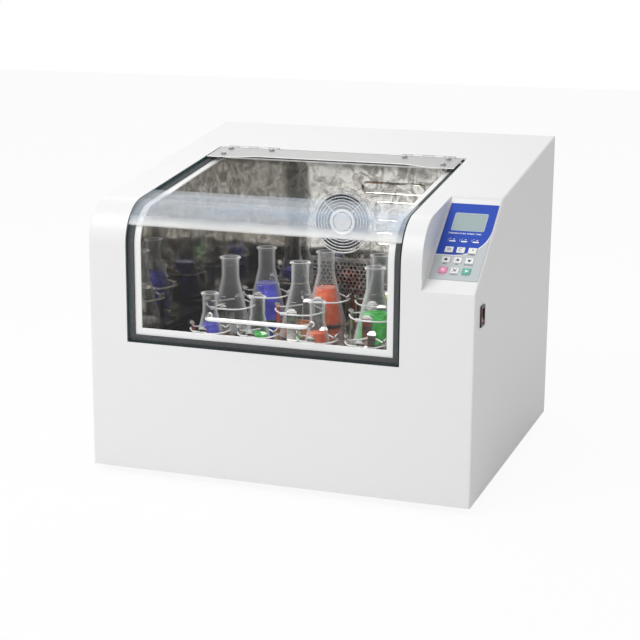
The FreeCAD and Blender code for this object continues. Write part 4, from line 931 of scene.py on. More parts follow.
class PatternTree(Graph):
    """A geometry tree with named inputs, run once into a plain mesh."""

    def __init__(self, name: str, inputs: dict[str, str]) -> None:
        """Open the tree.

        Args:
            name: tree name.
            inputs: socket types by input name.
        """
        tree = bpy.data.node_groups.new(name, "GeometryNodeTree")
        super().__init__(tree)
        tree.interface.new_socket("Geometry", in_out="INPUT", socket_type="NodeSocketGeometry")
        for title, kind in inputs.items():
            tree.interface.new_socket(title, in_out="INPUT", socket_type=kind)
        tree.interface.new_socket("Geometry", in_out="OUTPUT", socket_type="NodeSocketGeometry")
        self.entry = tree.nodes.new("NodeGroupInput")
        self.exit = tree.nodes.new("NodeGroupOutput")

    def given(self, title: str) -> Wire:
        """One of the tree's inputs."""
        return Wire(self, self.entry.outputs[title])

    def close(self, geometry: Wire, finish: Wire) -> "PatternTree":
        """Realize the instances, set the material and end the tree."""
        real = self.node("GeometryNodeRealizeInstances", values={0: geometry})
        done = self.node("GeometryNodeSetMaterial", values={"Geometry": real, "Material": finish})
        self.tree.links.new(done.socket, self.exit.inputs[0])
        return self

    def run(self, name: str, values: dict[str, Any], points: Sequence[Vector] = ()) -> bpy.types.Object:
        """Evaluate the tree into a plain object.

        Args:
            name: object name.
            values: input values by name.
            points: vertices handed to the tree.

        Returns:
            The linked object with a plain mesh.
        """
        seed = bpy.data.meshes.new(f"{name}_seed")
        seed.from_pydata([tuple(point) for point in points], [], [])
        host = linked(f"{name}_host", seed)
        modifier = host.modifiers.new("pattern", "NODES")
        modifier.node_group = self.tree
        for socket in self.tree.interface.items_tree:
            if socket.item_type == "SOCKET" and socket.in_out == "INPUT" and socket.name in values:
                modifier[socket.identifier] = values[socket.name]
        mesh = evaluated_mesh(host)
        mesh.name = name
        work = bmesh.new()
        work.from_mesh(mesh)
        mark_creases(work)
        work.to_mesh(mesh)
        work.free()
        return linked(name, mesh)


def repeat_tree() -> PatternTree:
    """Copies of one piece at every vertex."""
    tree = PatternTree("repeat_on_points", {"Piece": "NodeSocketObject", "Finish": "NodeSocketMaterial"})
    info = tree.node("GeometryNodeObjectInfo", values={"Object": tree.given("Piece")}, out="Geometry")
    spots = tree.node("GeometryNodeMeshToPoints", values={"Mesh": tree.given("Geometry")})
    copies = tree.node("GeometryNodeInstanceOnPoints", values={"Points": spots, "Instance": info})
    return tree.close(copies, tree.given("Finish"))


def honeycomb_tree() -> PatternTree:
    """Staggered rows of one cell."""
    tree = PatternTree("staggered_cells", {
        "Columns": "NodeSocketInt", "Rows": "NodeSocketInt", "Pitch": "NodeSocketFloat",
        "Row Pitch": "NodeSocketFloat", "Cell": "NodeSocketObject", "Finish": "NodeSocketMaterial"})
    pitch, row_pitch = tree.given("Pitch"), tree.given("Row Pitch")
    columns, rows = tree.given("Columns"), tree.given("Rows")
    grid = tree.node("GeometryNodeMeshGrid", values={
        "Size X": pitch * (columns - 1.0), "Size Y": row_pitch * (rows - 1.0),
        "Vertices X": columns, "Vertices Y": rows})
    split = tree.node("ShaderNodeSeparateXYZ", values={0: tree.node("GeometryNodeInputPosition")})
    line = (Wire(tree, split.socket.node.outputs[1]) / row_pitch + rows).rounded() % 2.0
    shift = tree.node("ShaderNodeCombineXYZ", values={0: line * pitch * 0.5 - pitch * 0.25})
    moved = tree.node("GeometryNodeSetPosition", values={"Geometry": grid, "Offset": shift})
    info = tree.node("GeometryNodeObjectInfo", values={"Object": tree.given("Cell")}, out="Geometry")
    copies = tree.node("GeometryNodeInstanceOnPoints", values={"Points": moved, "Instance": info})
    return tree.close(copies, tree.given("Finish"))


def ring_tree() -> PatternTree:
    """Concentric wire rings from a first radius outwards."""
    tree = PatternTree("concentric_rings", {
        "Rings": "NodeSocketInt", "First Radius": "NodeSocketFloat", "Step": "NodeSocketFloat",
        "Wire Radius": "NodeSocketFloat", "Finish": "NodeSocketMaterial"})
    spots = tree.node("GeometryNodeMeshLine", values={"Count": tree.given("Rings"), "Offset": Vector()})
    circle = tree.node("GeometryNodeCurvePrimitiveCircle", values={"Resolution": 72, "Radius": 1.0})
    index = tree.node("GeometryNodeInputIndex")
    size = index * tree.given("Step") + tree.given("First Radius")
    scale = tree.node("ShaderNodeCombineXYZ", values={0: size, 1: size, 2: size})
    copies = tree.node("GeometryNodeInstanceOnPoints", values={
        "Points": spots, "Instance": circle, "Scale": scale})
    real = tree.node("GeometryNodeRealizeInstances", values={0: copies})
    section = tree.node("GeometryNodeCurvePrimitiveCircle", values={
        "Resolution": 10, "Radius": tree.given("Wire Radius")})
    wires = tree.node("GeometryNodeCurveToMesh", values={"Curve": real, "Profile Curve": section})
    return tree.close(wires, tree.given("Finish"))


def repeated(name: str, piece: bpy.types.Object, spots: Sequence[Vector], finish: str) -> bpy.types.Object:
    """One object with a copy of a piece at each spot; the pattern piece is removed."""
    result = repeat_tree().run(name, {"Piece": piece, "Finish": PALETTE.get(finish)}, spots)
    bpy.data.objects.remove(piece)
    return result


@dataclass
class SlopingTop:
    """The plane of the lid's flat top, measured from the clear sheet."""

    low: Vector = field(default_factory=lambda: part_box("lid_sheet")[0])
    high: Vector = field(default_factory=lambda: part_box("lid_sheet")[1])
    angle: float = math.radians(8.0)

    def along(self) -> Vector:
        """Up the slope."""
        return Vector((0.0, math.cos(self.angle), math.sin(self.angle)))

    def normal(self) -> Vector:
        """Out of the top."""
        return Vector((0.0, -math.sin(self.angle), math.cos(self.angle)))

    def height_at(self, back: float) -> float:
        """Height of the lid's outer face at a depth."""
        return self.high.z - (self.high.y - back) * math.tan(self.angle)


@dataclass
class Cabinet:
    """Bent skin, floor pan, rear panel and feet."""

    corner_width: float = 4.0 * MM
    edge_width: float = 0.5 * MM
    sill_width: float = 1.8 * MM
    lid_gap: float = 2.0 * MM
    on_face: float = 0.1 * MM
    level_slack: float = 0.01 * MM
    screw_inset: float = 14.0 * MM
    screw_head: Profile = Profile(((0, 1.6), (2.0, 1.3), (3.4, 0.2), (3.4, -0.4), (0, -0.4)))
    louvre_length: float = 110.0 * MM
    louvre_millimetres: int = 5
    hood_depth: float = 3.0 * MM
    hood_rise: float = 4.0 * MM
    hood_curve: tuple[float, float] = (0.5, 0.75)
    hood_mouth: float = 0.8 * MM
    hood_root: float = 1.2 * MM
    hood_shares: Outline = ((-1.0, 0.15), (-0.94, 0.8), (-0.86, 1.0), (0.86, 1.0), (0.94, 0.8), (1.0, 0.15))
    sole_share: float = 0.84
    sole_edge: float = 2.0 * MM
    foot_rim: float = 0.6 * MM

    def build(self) -> None:
        """Dress every piece of the cabinet."""
        self.skin()
        self.rear()
        soften("base_pan", "pan_grey", "pan_grey", width=0.4 * MM)
        self.feet()

    def skin(self) -> None:
        """The white skin, with wide corners along both sides and fine ones elsewhere."""
        low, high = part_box("cabinet_shell")
        sill_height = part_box("lid_sheet")[0].z - self.lid_gap

        def share(edge: bmesh.types.BMEdge) -> float:
            """Share of the corners' width that an edge gets."""
            middle = (edge.verts[0].co + edge.verts[1].co) / 2
            if middle.y < low.y + MM and abs(middle.z - sill_height) < MM:
                return self.sill_width / self.corner_width
            outer = min(abs(middle.x - low.x), abs(middle.x - high.x)) < self.on_face
            open_end = middle.z < low.z + MM or middle.y > high.y - MM
            return 1.0 if outer and not open_end else self.edge_width / self.corner_width

        skin = softened("cabinet_shell", "powder_white", self.corner_width, share, segments=4)
        seat(skin, Body.CABINET, "cabinet_white", "cabinet_shell")

    def rear(self) -> None:
        """The rear panel with its screws and a hood over each louvre."""
        soften("rear_panel", "powder_white", "cabinet_white", width=0.3 * MM)
        low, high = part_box("rear_panel")
        middle = (low + high) / 2
        inset = self.screw_inset
        spots = [Vector((x, high.y, z)) for x in (low.x + inset, middle.x, high.x - inset)
                 for z in (low.z + inset * 3, high.z - inset * 2)]
        spots += [Vector((x, high.y, middle.z)) for x in (low.x + inset, high.x - inset)]
        head = Shape().lathe(self.screw_head.points(), sides=20, foot=Vector(), axis=BACK)
        pattern = head.build("rear_screw_pattern", "screw_steel")
        seat(repeated("rear_screws", pattern, spots, "screw_steel"), Body.CABINET, "screw_steel")
        self.hoods(high.y)

    def hoods(self, face: float) -> None:
        """Pressed hoods over the louvres of the rear panel.

        Args:
            face: y of the panel's outer face.
        """
        low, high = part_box("rear_panel")
        work = merged_copy("rear_panel")
        rows: dict[tuple[int, int], Box] = {}
        for edge in work.edges:
            first, second = (vert.co.copy() for vert in edge.verts)
            level = max(abs(first.z - second.z), abs(first.y - second.y)) < self.level_slack
            long = abs(abs(first.x - second.x) - self.louvre_length) < MM
            inside = low.z + MM < first.z < high.z - MM and first.y > face - self.on_face
            if level and long and inside:
                rows[round((first.x + second.x) / MM / 2), round(first.z / MM)] = (first, second)
        work.free()
        tops = [pair for (middle, level), pair in sorted(rows.items())
                if (middle, level - self.louvre_millimetres) in rows]
        if not tops:
            return
        half = (tops[0][0] - tops[0][1]).length / 2
        section = [(0.0, self.hood_rise),
                   (self.hood_depth * self.hood_curve[0], self.hood_rise * self.hood_curve[1]),
                   (self.hood_depth, 0.0), (self.hood_depth - self.hood_mouth, 0.0),
                   (0.0, self.hood_rise - self.hood_root)]
        loops = [[Vector((across * half, out * share, up)) for out, up in section]
                 for across, share in self.hood_shares]
        hood = Shape().rings(loops).build("hood_pattern", "powder_white")
        spots = [Vector((centre_of(pair).x, face, pair[0].z)) for pair in tops]
        seat(repeated("louvre_hoods", hood, spots, "powder_white"), Body.CABINET, "cabinet_white")

    def feet(self) -> None:
        """Tapered rubber feet with a rounded sole."""
        boxes = islands("feet")
        radius, height = round_size(boxes[0])
        profile = rounded_profile([(0, 0), (radius * self.sole_share, 0), (radius, height), (0, height)],
                                  [0, self.sole_edge, self.foot_rim, 0])
        foot = Shape().lathe(profile, sides=40, foot=Vector()).build("foot_pattern", "foot_rubber")
        spots = [at_height(pair, pair[0].z) for pair in boxes]
        seat(repeated("rubber_feet", foot, spots, "foot_rubber"), Body.CABINET, "foot_rubber", "feet")


@dataclass
class Lid:
    """Clear bent lid in its white seat, with pull, hinge strip and hinges."""

    top: SlopingTop = field(default_factory=SlopingTop)
    tint: Color = (0.8, 0.86, 0.92, 1.0)
    edge_width: float = 0.7 * MM
    bend_radius: float = 80.0 * MM
    # where the painted reflection on the bend starts and how far up the slope it runs
    painted_reflection_low: float = math.radians(29.0)
    painted_reflection_run: float = 50.0 * MM
    dark_rear: float = 2.0 * MM
    pull_bend: float = 14.0 * MM
    collar_share: float = 1.3
    collar_length: float = 1.6 * MM
    collar_edge: float = 0.5 * MM
    screw_radius: float = 5.0 * MM
    washer: Profile = Profile(((0, 1.5), (6.4, 1.5), (6.4, 2.3), (0, 2.3)), (0, 0.2, 0.2, 0))
    nut: Profile = Profile(((0, 4.4), (5.2, 4.4), (5.2, 4.7), (3.6, 5.6), (2.0, 6.0), (0, 6.1)))
    strip_rear: float = 0.8 * MM
    strip_side: float = 3.0 * MM
    strip_end: float = 57.0 * MM
    strip_slant: float = 97.0 * MM
    strip_deep: float = 58.0 * MM
    strip_shallow: float = 40.0 * MM
    strip_sweep: float = 60.0 * MM
    strip_bead: float = 0.9 * MM
    flange: float = 18.0 * MM
    flange_lap: float = 5.0 * MM
    flange_base: float = 0.05 * MM
    flange_height: float = 1.4 * MM
    end_share: float = 0.75
    # black pieces standing in for the shadow in the gap under the lid
    shadow_lip_front: float = 0.6 * MM
    shadow_lip_back: float = 7.0 * MM
    shadow_lip_gap: float = 0.15 * MM
    shadow_lip_height: float = 1.9 * MM
    shadow_inset: float = 0.5 * MM
    shadow_back: float = 6.05 * MM
    shadow_thickness: float = 0.15 * MM
    shadow_height: float = 3.0 * MM

    def build(self) -> None:
        """Dress every piece of the lid and its seat."""
        soften("lid_frame", "seat_white", "seat_white", width=0.5 * MM)
        soften("lid_gasket", "seal_foam", "gasket_grey", width=0.8 * MM)
        self.sheet()
        self.pull()
        self.strip()
        self.strip_edge()
        self.gap_shadow_pieces()

    def sheet(self) -> None:
        """The clear sheet, its edges dark where they are seen along the sheet."""
        low, high = self.top.low, self.top.high
        angle = self.top.angle
        bend_y = low.y + self.bend_radius
        slope_y = bend_y - self.bend_radius * math.sin(angle)
        centre = Vector((0, bend_y, self.top.height_at(slope_y) - self.bend_radius * math.cos(angle)))
        # the sheet carries a painted reflection band over its bend
        PALETTE.add(BentSheet("lid_clear", self.tint, centre, self.painted_reflection_low, self.painted_reflection_run, angle))
        item = softened("lid_sheet", "lid_clear", self.edge_width)
        item.data.materials.append(PALETTE.get("sheet_edge"))
        for face in item.data.polygons:
            place = face.center
            side = abs(face.normal.x) > FACING and min(abs(place.x - low.x), abs(place.x - high.x)) < MM
            foot = face.normal.z < -FACING and place.z < low.z + MM
            rear = place.y > high.y - self.dark_rear
            face.material_index = 1 if side or foot or rear else 0
        seat(item, Body.LID, "lid_clear", "lid_sheet")

    def pull(self) -> None:
        """Chrome bar with a collar at each foot."""
        low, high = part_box("lid_handle")
        radius = (high.z - low.z) / 2
        face, out = self.top.low.y, low.y + radius
        level = (low.z + high.z) / 2
        corners = [Vector((low.x + radius, face, level)), Vector((low.x + radius, out, level)),
                   Vector((high.x - radius, out, level)), Vector((high.x - radius, face, level))]
        path = rounded_path(corners, [0, self.pull_bend, self.pull_bend, 0], steps=10)
        shape = Shape().tube(path, radius, sides=20, flat=UP)
        wide = radius * self.collar_share
        collar = rounded_profile([(0, 0), (wide, 0), (wide, self.collar_length), (0, self.collar_length)],
                                 [0, 0, self.collar_edge, 0])
        for foot in (corners[0], corners[3]):
            shape.lathe(collar, sides=28, foot=foot, axis=-BACK)
        seat(shape.build("lid_pull", "bar_chrome"), Body.LID, "handle_chrome", "lid_handle")

    def strip(self) -> None:
        """Hinge strip, hinges, pins and the studs with their nuts."""
        soften("lid_hinge_strip", "strip_steel", "strip_steel", width=0.35 * MM, body=Body.LID)
        soften("hinge_leaf", "hinge_steel", "hinge_steel", width=0.2 * MM)
        dress_node("hinge_pin", "shaft_steel")
        dress_node("lid_screws", "screw_steel")
        normal = self.top.normal()
        spots = []
        for pair in islands("lid_screws"):
            back = pair[0].y + self.screw_radius * math.cos(self.top.angle)
            spots.append(Vector((centre_of(pair).x, back, self.top.height_at(back))))
        shape = Shape().lathe(self.washer.points(), sides=28, foot=Vector(), axis=normal)
        shape.lathe(self.nut.points(), sides=6, foot=Vector(), axis=normal)
        nut = shape.build("nut_pattern", "screw_steel")
        seat(repeated("lid_nuts", nut, spots, "screw_steel"), Body.LID, "screw_steel")

    def strip_line(self, further: float) -> list[Vector]:
        """Front edge of the hinge strip on the sheet's face, moved down the slope.

        Args:
            further: distance in front of the strip's own edge.

        Returns:
            Points from left to right.
        """
        low, high = self.top.low, self.top.high
        deep, shallow = self.strip_deep + further * self.end_share, self.strip_shallow + further
        ends = ((self.strip_side, deep), (self.strip_side + self.strip_end, deep),
                (self.strip_side + self.strip_slant, shallow))
        corners = [(low.x + side, run) for side, run in ends]
        corners += [(high.x - side, run) for side, run in reversed(ends)]
        rear = Vector((0, high.y - self.strip_rear, high.z))
        points = [rear - self.top.along() * run + RIGHT * across for across, run in corners]
        return rounded_path(points, [self.strip_sweep] * len(points), steps=6)

    def strip_edge(self) -> None:
        """Thin front flange of the hinge strip, with its rolled edge in white paint as a painted highlight.
        """
        normal = self.top.normal()
        inner, outer = self.strip_line(-self.flange_lap), self.strip_line(self.flange)
        base, face = normal * self.flange_base, normal * self.flange_height
        loops = [[near + base, far + base, far + face, near + face] for near, far in zip(inner, outer)]
        flange = Shape().rings(loops)
        seat(flange.build("strip_flange", "strip_steel"), Body.LID, "strip_steel")
        # painted highlight: the rolled edge takes white paint rather than the strip's steel
        path = [point + normal * self.strip_bead for point in outer]
        bead = Shape().tube(path, self.strip_bead, sides=10, flat=normal)
        seat(bead.build("strip_rolled_edge", "hub_white"), Body.LID, "strip_steel")

    def gap_shadow_pieces(self) -> None:
        """Painted shadow: a black lip in the gap under the lid's lower edge and a black strip behind the
        sheet's foot stand in for the shade in that gap.
        """
        low, high = self.top.low, self.top.high
        back = low.y + self.shadow_back
        shape = Shape().block((low.x, low.y + self.shadow_lip_front, low.z - self.shadow_lip_height),
                              (high.x, low.y + self.shadow_lip_back, low.z - self.shadow_lip_gap))
        shape.block((low.x + self.shadow_inset, back, low.z),
                    (high.x - self.shadow_inset, back + self.shadow_thickness, low.z + self.shadow_height))
        seat(shape.build("lid_gap_lip", "gap_shadow_black"), Body.CABINET, "gasket_grey")


@dataclass
class Chamber:
    """Mirror-finished tub with its back wall fittings."""

    hole_pitch: float = 9.0 * MM
    hole_radius: float = 3.3 * MM
    hole_sides: int = 12
    plate_border: float = 5.0 * MM
    plate_share: float = 0.98
    border_lap: float = 0.2
    cell_overlap: float = 1.001
    bead_radius: float = 2.2 * MM
    bead_bend: float = 9.0 * MM
    bead_right: float = 106.0 * MM
    bead_rows: tuple[Triple, ...] = (
        (-22.0 * MM, 19.0 * MM, -2.0 * MM), (5.0 * MM, -19.0 * MM, -56.0 * MM),
        (5.0 * MM, -82.0 * MM, -104.0 * MM))
    seam_place: float = 190.0 * MM
    seam_width: float = 2.5 * MM
    seam_depth: float = 0.8 * MM
    seam_foot: float = 2.0 * MM
    seam_top: float = 60.0 * MM
    ring_wire: float = 1.05 * MM
    first_ring: float = 33.0 * MM
    guard_rings: int = 6
    spoke_start: float = 10.0 * MM
    spoke_turns: tuple[float, ...] = (45.0, 135.0, 225.0, 315.0)
    hub_ring: Profile = Profile(((20.0, 0), (27.0, 0), (26.0, 2.2), (21.0, 2.2), (20.0, 0.4)),
                                (0, 0.3, 0.8, 0.8, 0))
    hub_disc: Profile = Profile(((0, 0.3), (19.0, 0.3), (17.0, 1.5), (7.0, 1.1), (5.0, 2.0), (0, 2.1)),
                                (0, 0.2, 0.8, 1.0, 0.8, 0))
    probe_radius: float = 3.0 * MM
    probe_tip: float = 2.6 * MM
    gland_radius: float = 7.0 * MM
    gland_length: float = 5.0 * MM
    gland_edge: float = 0.6 * MM

    def build(self) -> None:
        """Dress the tub and its fittings."""
        soften("chamber_liner", "mirror_steel", "liner_steel", width=0.4 * MM)
        dress_node("insulation", "wool_mat")
        self.beads()
        self.perforated_plate()
        self.fan()
        self.probe()
        dress_node("heater_block", "fin_aluminium")

    def beads(self) -> None:
        """Pressed beads in the back wall, right of the fan, and the wall's folded seam."""
        low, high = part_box("chamber_liner")
        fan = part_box("fan_guard")[1]
        right = fan.x + self.bead_right
        shape = Shape()
        for start, top, bottom in self.bead_rows:
            left = fan.x + start
            outline = [Vector((left, fan.y, fan.z + bottom)), Vector((left, fan.y, fan.z + top)),
                       Vector((right, fan.y, fan.z + top)), Vector((right, fan.y, fan.z + bottom))]
            loop = rounded_path(outline, [self.bead_bend] * 4, steps=6, closed=True)
            shape.tube(loop, self.bead_radius, sides=8, flat=BACK, closed=True)
        seam = low.x + self.seam_place
        shape.block((seam, fan.y - self.seam_depth, low.z + self.seam_foot),
                    (seam + self.seam_width, fan.y, high.z - self.seam_top))
        seat(shape.build("wall_beads", "mirror_steel"), Body.CABINET, "liner_steel")

    def hole_cell(self, depth: float) -> Shape:
        """A hexagon of the perforated plate with its round hole."""
        corner = self.hole_pitch / math.sqrt(3) * self.cell_overlap
        outer = [Vector((corner * math.sin(turn), corner * math.cos(turn), 0)) for turn in turns(6)]
        rim = [Vector((self.hole_radius * math.sin(turn), self.hole_radius * math.cos(turn), 0))
               for turn in turns(self.hole_sides)]
        border = []
        for first, second in zip(outer, outer[1:] + outer[:1]):
            border += [first, (first + second) / 2]
        lift = Vector((0, 0, depth))
        loops = [border, rim, [point + lift for point in rim], [point + lift for point in border]]
        return Shape().rings(loops, closed=True)

    def perforated_plate(self) -> None:
        """Staggered round holes in the plate over the heater, inside a plain border."""
        low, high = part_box("air_grille")
        middle = Vector(((low.x + high.x) / 2, high.y, (low.z + high.z) / 2))
        pitch = self.hole_pitch
        row_pitch = pitch * math.sqrt(3) / 2
        columns = int((high.x - low.x - self.plate_border * 2) / pitch)
        rows = int((high.z - low.z - self.plate_border * 2) / row_pitch)
        pattern = self.hole_cell((high.y - low.y) * self.plate_share).build("hole_pattern", "tray_steel")
        plate = honeycomb_tree().run("perforated_plate", {
            "Columns": columns, "Rows": rows, "Pitch": pitch, "Row Pitch": row_pitch,
            "Cell": pattern, "Finish": PALETTE.get("tray_steel")})
        bpy.data.objects.remove(pattern)
        plate.data.transform(Matrix.Translation(middle) @ UPRIGHT)
        seat(plate, Body.CABINET, "liner_steel")
        half = columns * pitch / 2 - pitch * self.border_lap
        left, right = middle.x - half, middle.x + half
        bottom, top = (middle.z + side * rows * row_pitch / 2 for side in (-1, 1))
        edges = Shape().block(low, (left, high.y, high.z))
        edges.block((right, low.y, low.z), high)
        edges.block((left, low.y, low.z), (right, high.y, bottom))
        edges.block((left, low.y, top), (right, high.y, high.z))
        seat(edges.build("plate_border", "tray_steel"), Body.CABINET, "liner_steel", "air_grille")

    def fan(self) -> None:
        """Finger guard of wire rings round a bright hub, the wheel and its frame."""
        low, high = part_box("fan_guard")
        centre = Vector(((low.x + high.x) / 2, high.y, (low.z + high.z) / 2))
        wires = centre - BACK * self.ring_wire
        outer = (high.x - low.x) / 2 - self.ring_wire
        rings = ring_tree().run("guard_rings", {
            "Rings": self.guard_rings, "First Radius": self.first_ring,
            "Step": (outer - self.first_ring) / (self.guard_rings - 1),
            "Wire Radius": self.ring_wire, "Finish": PALETTE.get("guard_chrome")})
        rings.data.transform(Matrix.Translation(wires) @ UPRIGHT)
        seat(rings, Body.CABINET, "guard_chrome", "fan_guard")
        spokes = Shape()
        for turn in self.spoke_turns:
            way = Vector((math.cos(math.radians(turn)), 0, math.sin(math.radians(turn))))
            spokes.tube([wires + way * self.spoke_start, wires + way * outer], self.ring_wire, sides=10,
                        flat=BACK)
        seat(spokes.build("guard_spokes", "guard_chrome"), Body.CABINET, "guard_chrome")
        ring = Shape().lathe(self.hub_ring.points(), sides=56, foot=centre, axis=-BACK, closed=True)
        seat(ring.build("guard_hub_ring", "hub_white"), Body.CABINET, "guard_chrome")
        disc = Shape().lathe(self.hub_disc.points(), sides=48, foot=centre, axis=-BACK)
        seat(disc.build("guard_hub_disc", "hub_grey"), Body.CABINET, "guard_chrome")
        soften("fan_impeller", "fan_plastic", "fan_plastic", width=0.3 * MM, body=Body.FAN)
        soften("fan_motor", "fan_plastic", "fan_plastic", width=0.3 * MM)

    def probe(self) -> None:
        """Temperature probe with a rounded tip and its gland."""
        low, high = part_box("temperature_probe")
        middle = (low + high) / 2
        length = high.y - low.y
        stem = length - self.gland_length
        profile = rounded_profile(
            [(0, 0), (self.probe_radius, 0), (self.probe_radius, stem), (self.gland_radius, stem),
             (self.gland_radius, length), (0, length)],
            [0, self.probe_tip, 0, self.gland_edge, self.gland_edge, 0])
        shape = Shape().lathe(profile, sides=24, foot=Vector((middle.x, low.y, middle.z)), axis=BACK)
        seat(shape.build("probe_stem", "shaft_steel"), Body.CABINET, "shaft_steel", "temperature_probe")


@dataclass
class Drive:
    """Orbital drive and electrics, seen only from below or with the tray away."""

    finishes: dict[str, str] = field(default_factory=lambda: {
        "drive_base": "drive_grey", "drive_motor": "motor_black", "main_bearing": "cast_iron",
        "idler_bearings": "cast_iron", "main_crank_shaft": "shaft_steel", "driven_pulley": "cast_aluminium",
        "counterweight": "cast_iron", "motor_pulley": "cast_aluminium", "idler_shaft_1": "shaft_steel",
        "idler_shaft_2": "shaft_steel", "drive_belt": "belt_rubber", "power_supply": "supply_steel",
        "control_board": "board_green"})

    def build(self) -> None:
        """Give each hidden piece its finish."""
        for node, finish in self.finishes.items():
            dress_node(node, finish)


@dataclass
class ClampSizes:
    """One size of flask clamp."""

    reach: float
    arm_width: float
    arm_height: float
    wire_height: float
    wall: float = 1.5 * MM
    root_bend: float = 4.0 * MM
    flare_bend: float = 6.0 * MM
    flare: float = 4.8 * MM
    tip: float = 7.0 * MM
    tip_share: float = 0.5
    tip_width: float = 0.62
    wire: float = 1.5 * MM
    wire_gap: float = 3.0 * MM
    bow: float = 5.0 * MM
    sag: float = 2.0 * MM
    spring_turn: float = math.radians(248)
    spring_ahead: float = 0.1
    ring_steps: int = 56
    spring_length: float = 17.0 * MM
    spring_wire: float = 0.75 * MM
    coil_radius: float = 2.8 * MM
    coils: int = 9
    coil_steps: int = 10


@dataclass(frozen=True)
class FlaskSizes:
    """One size of conical flask."""

    neck: float
    rim: float
    shoulder: float


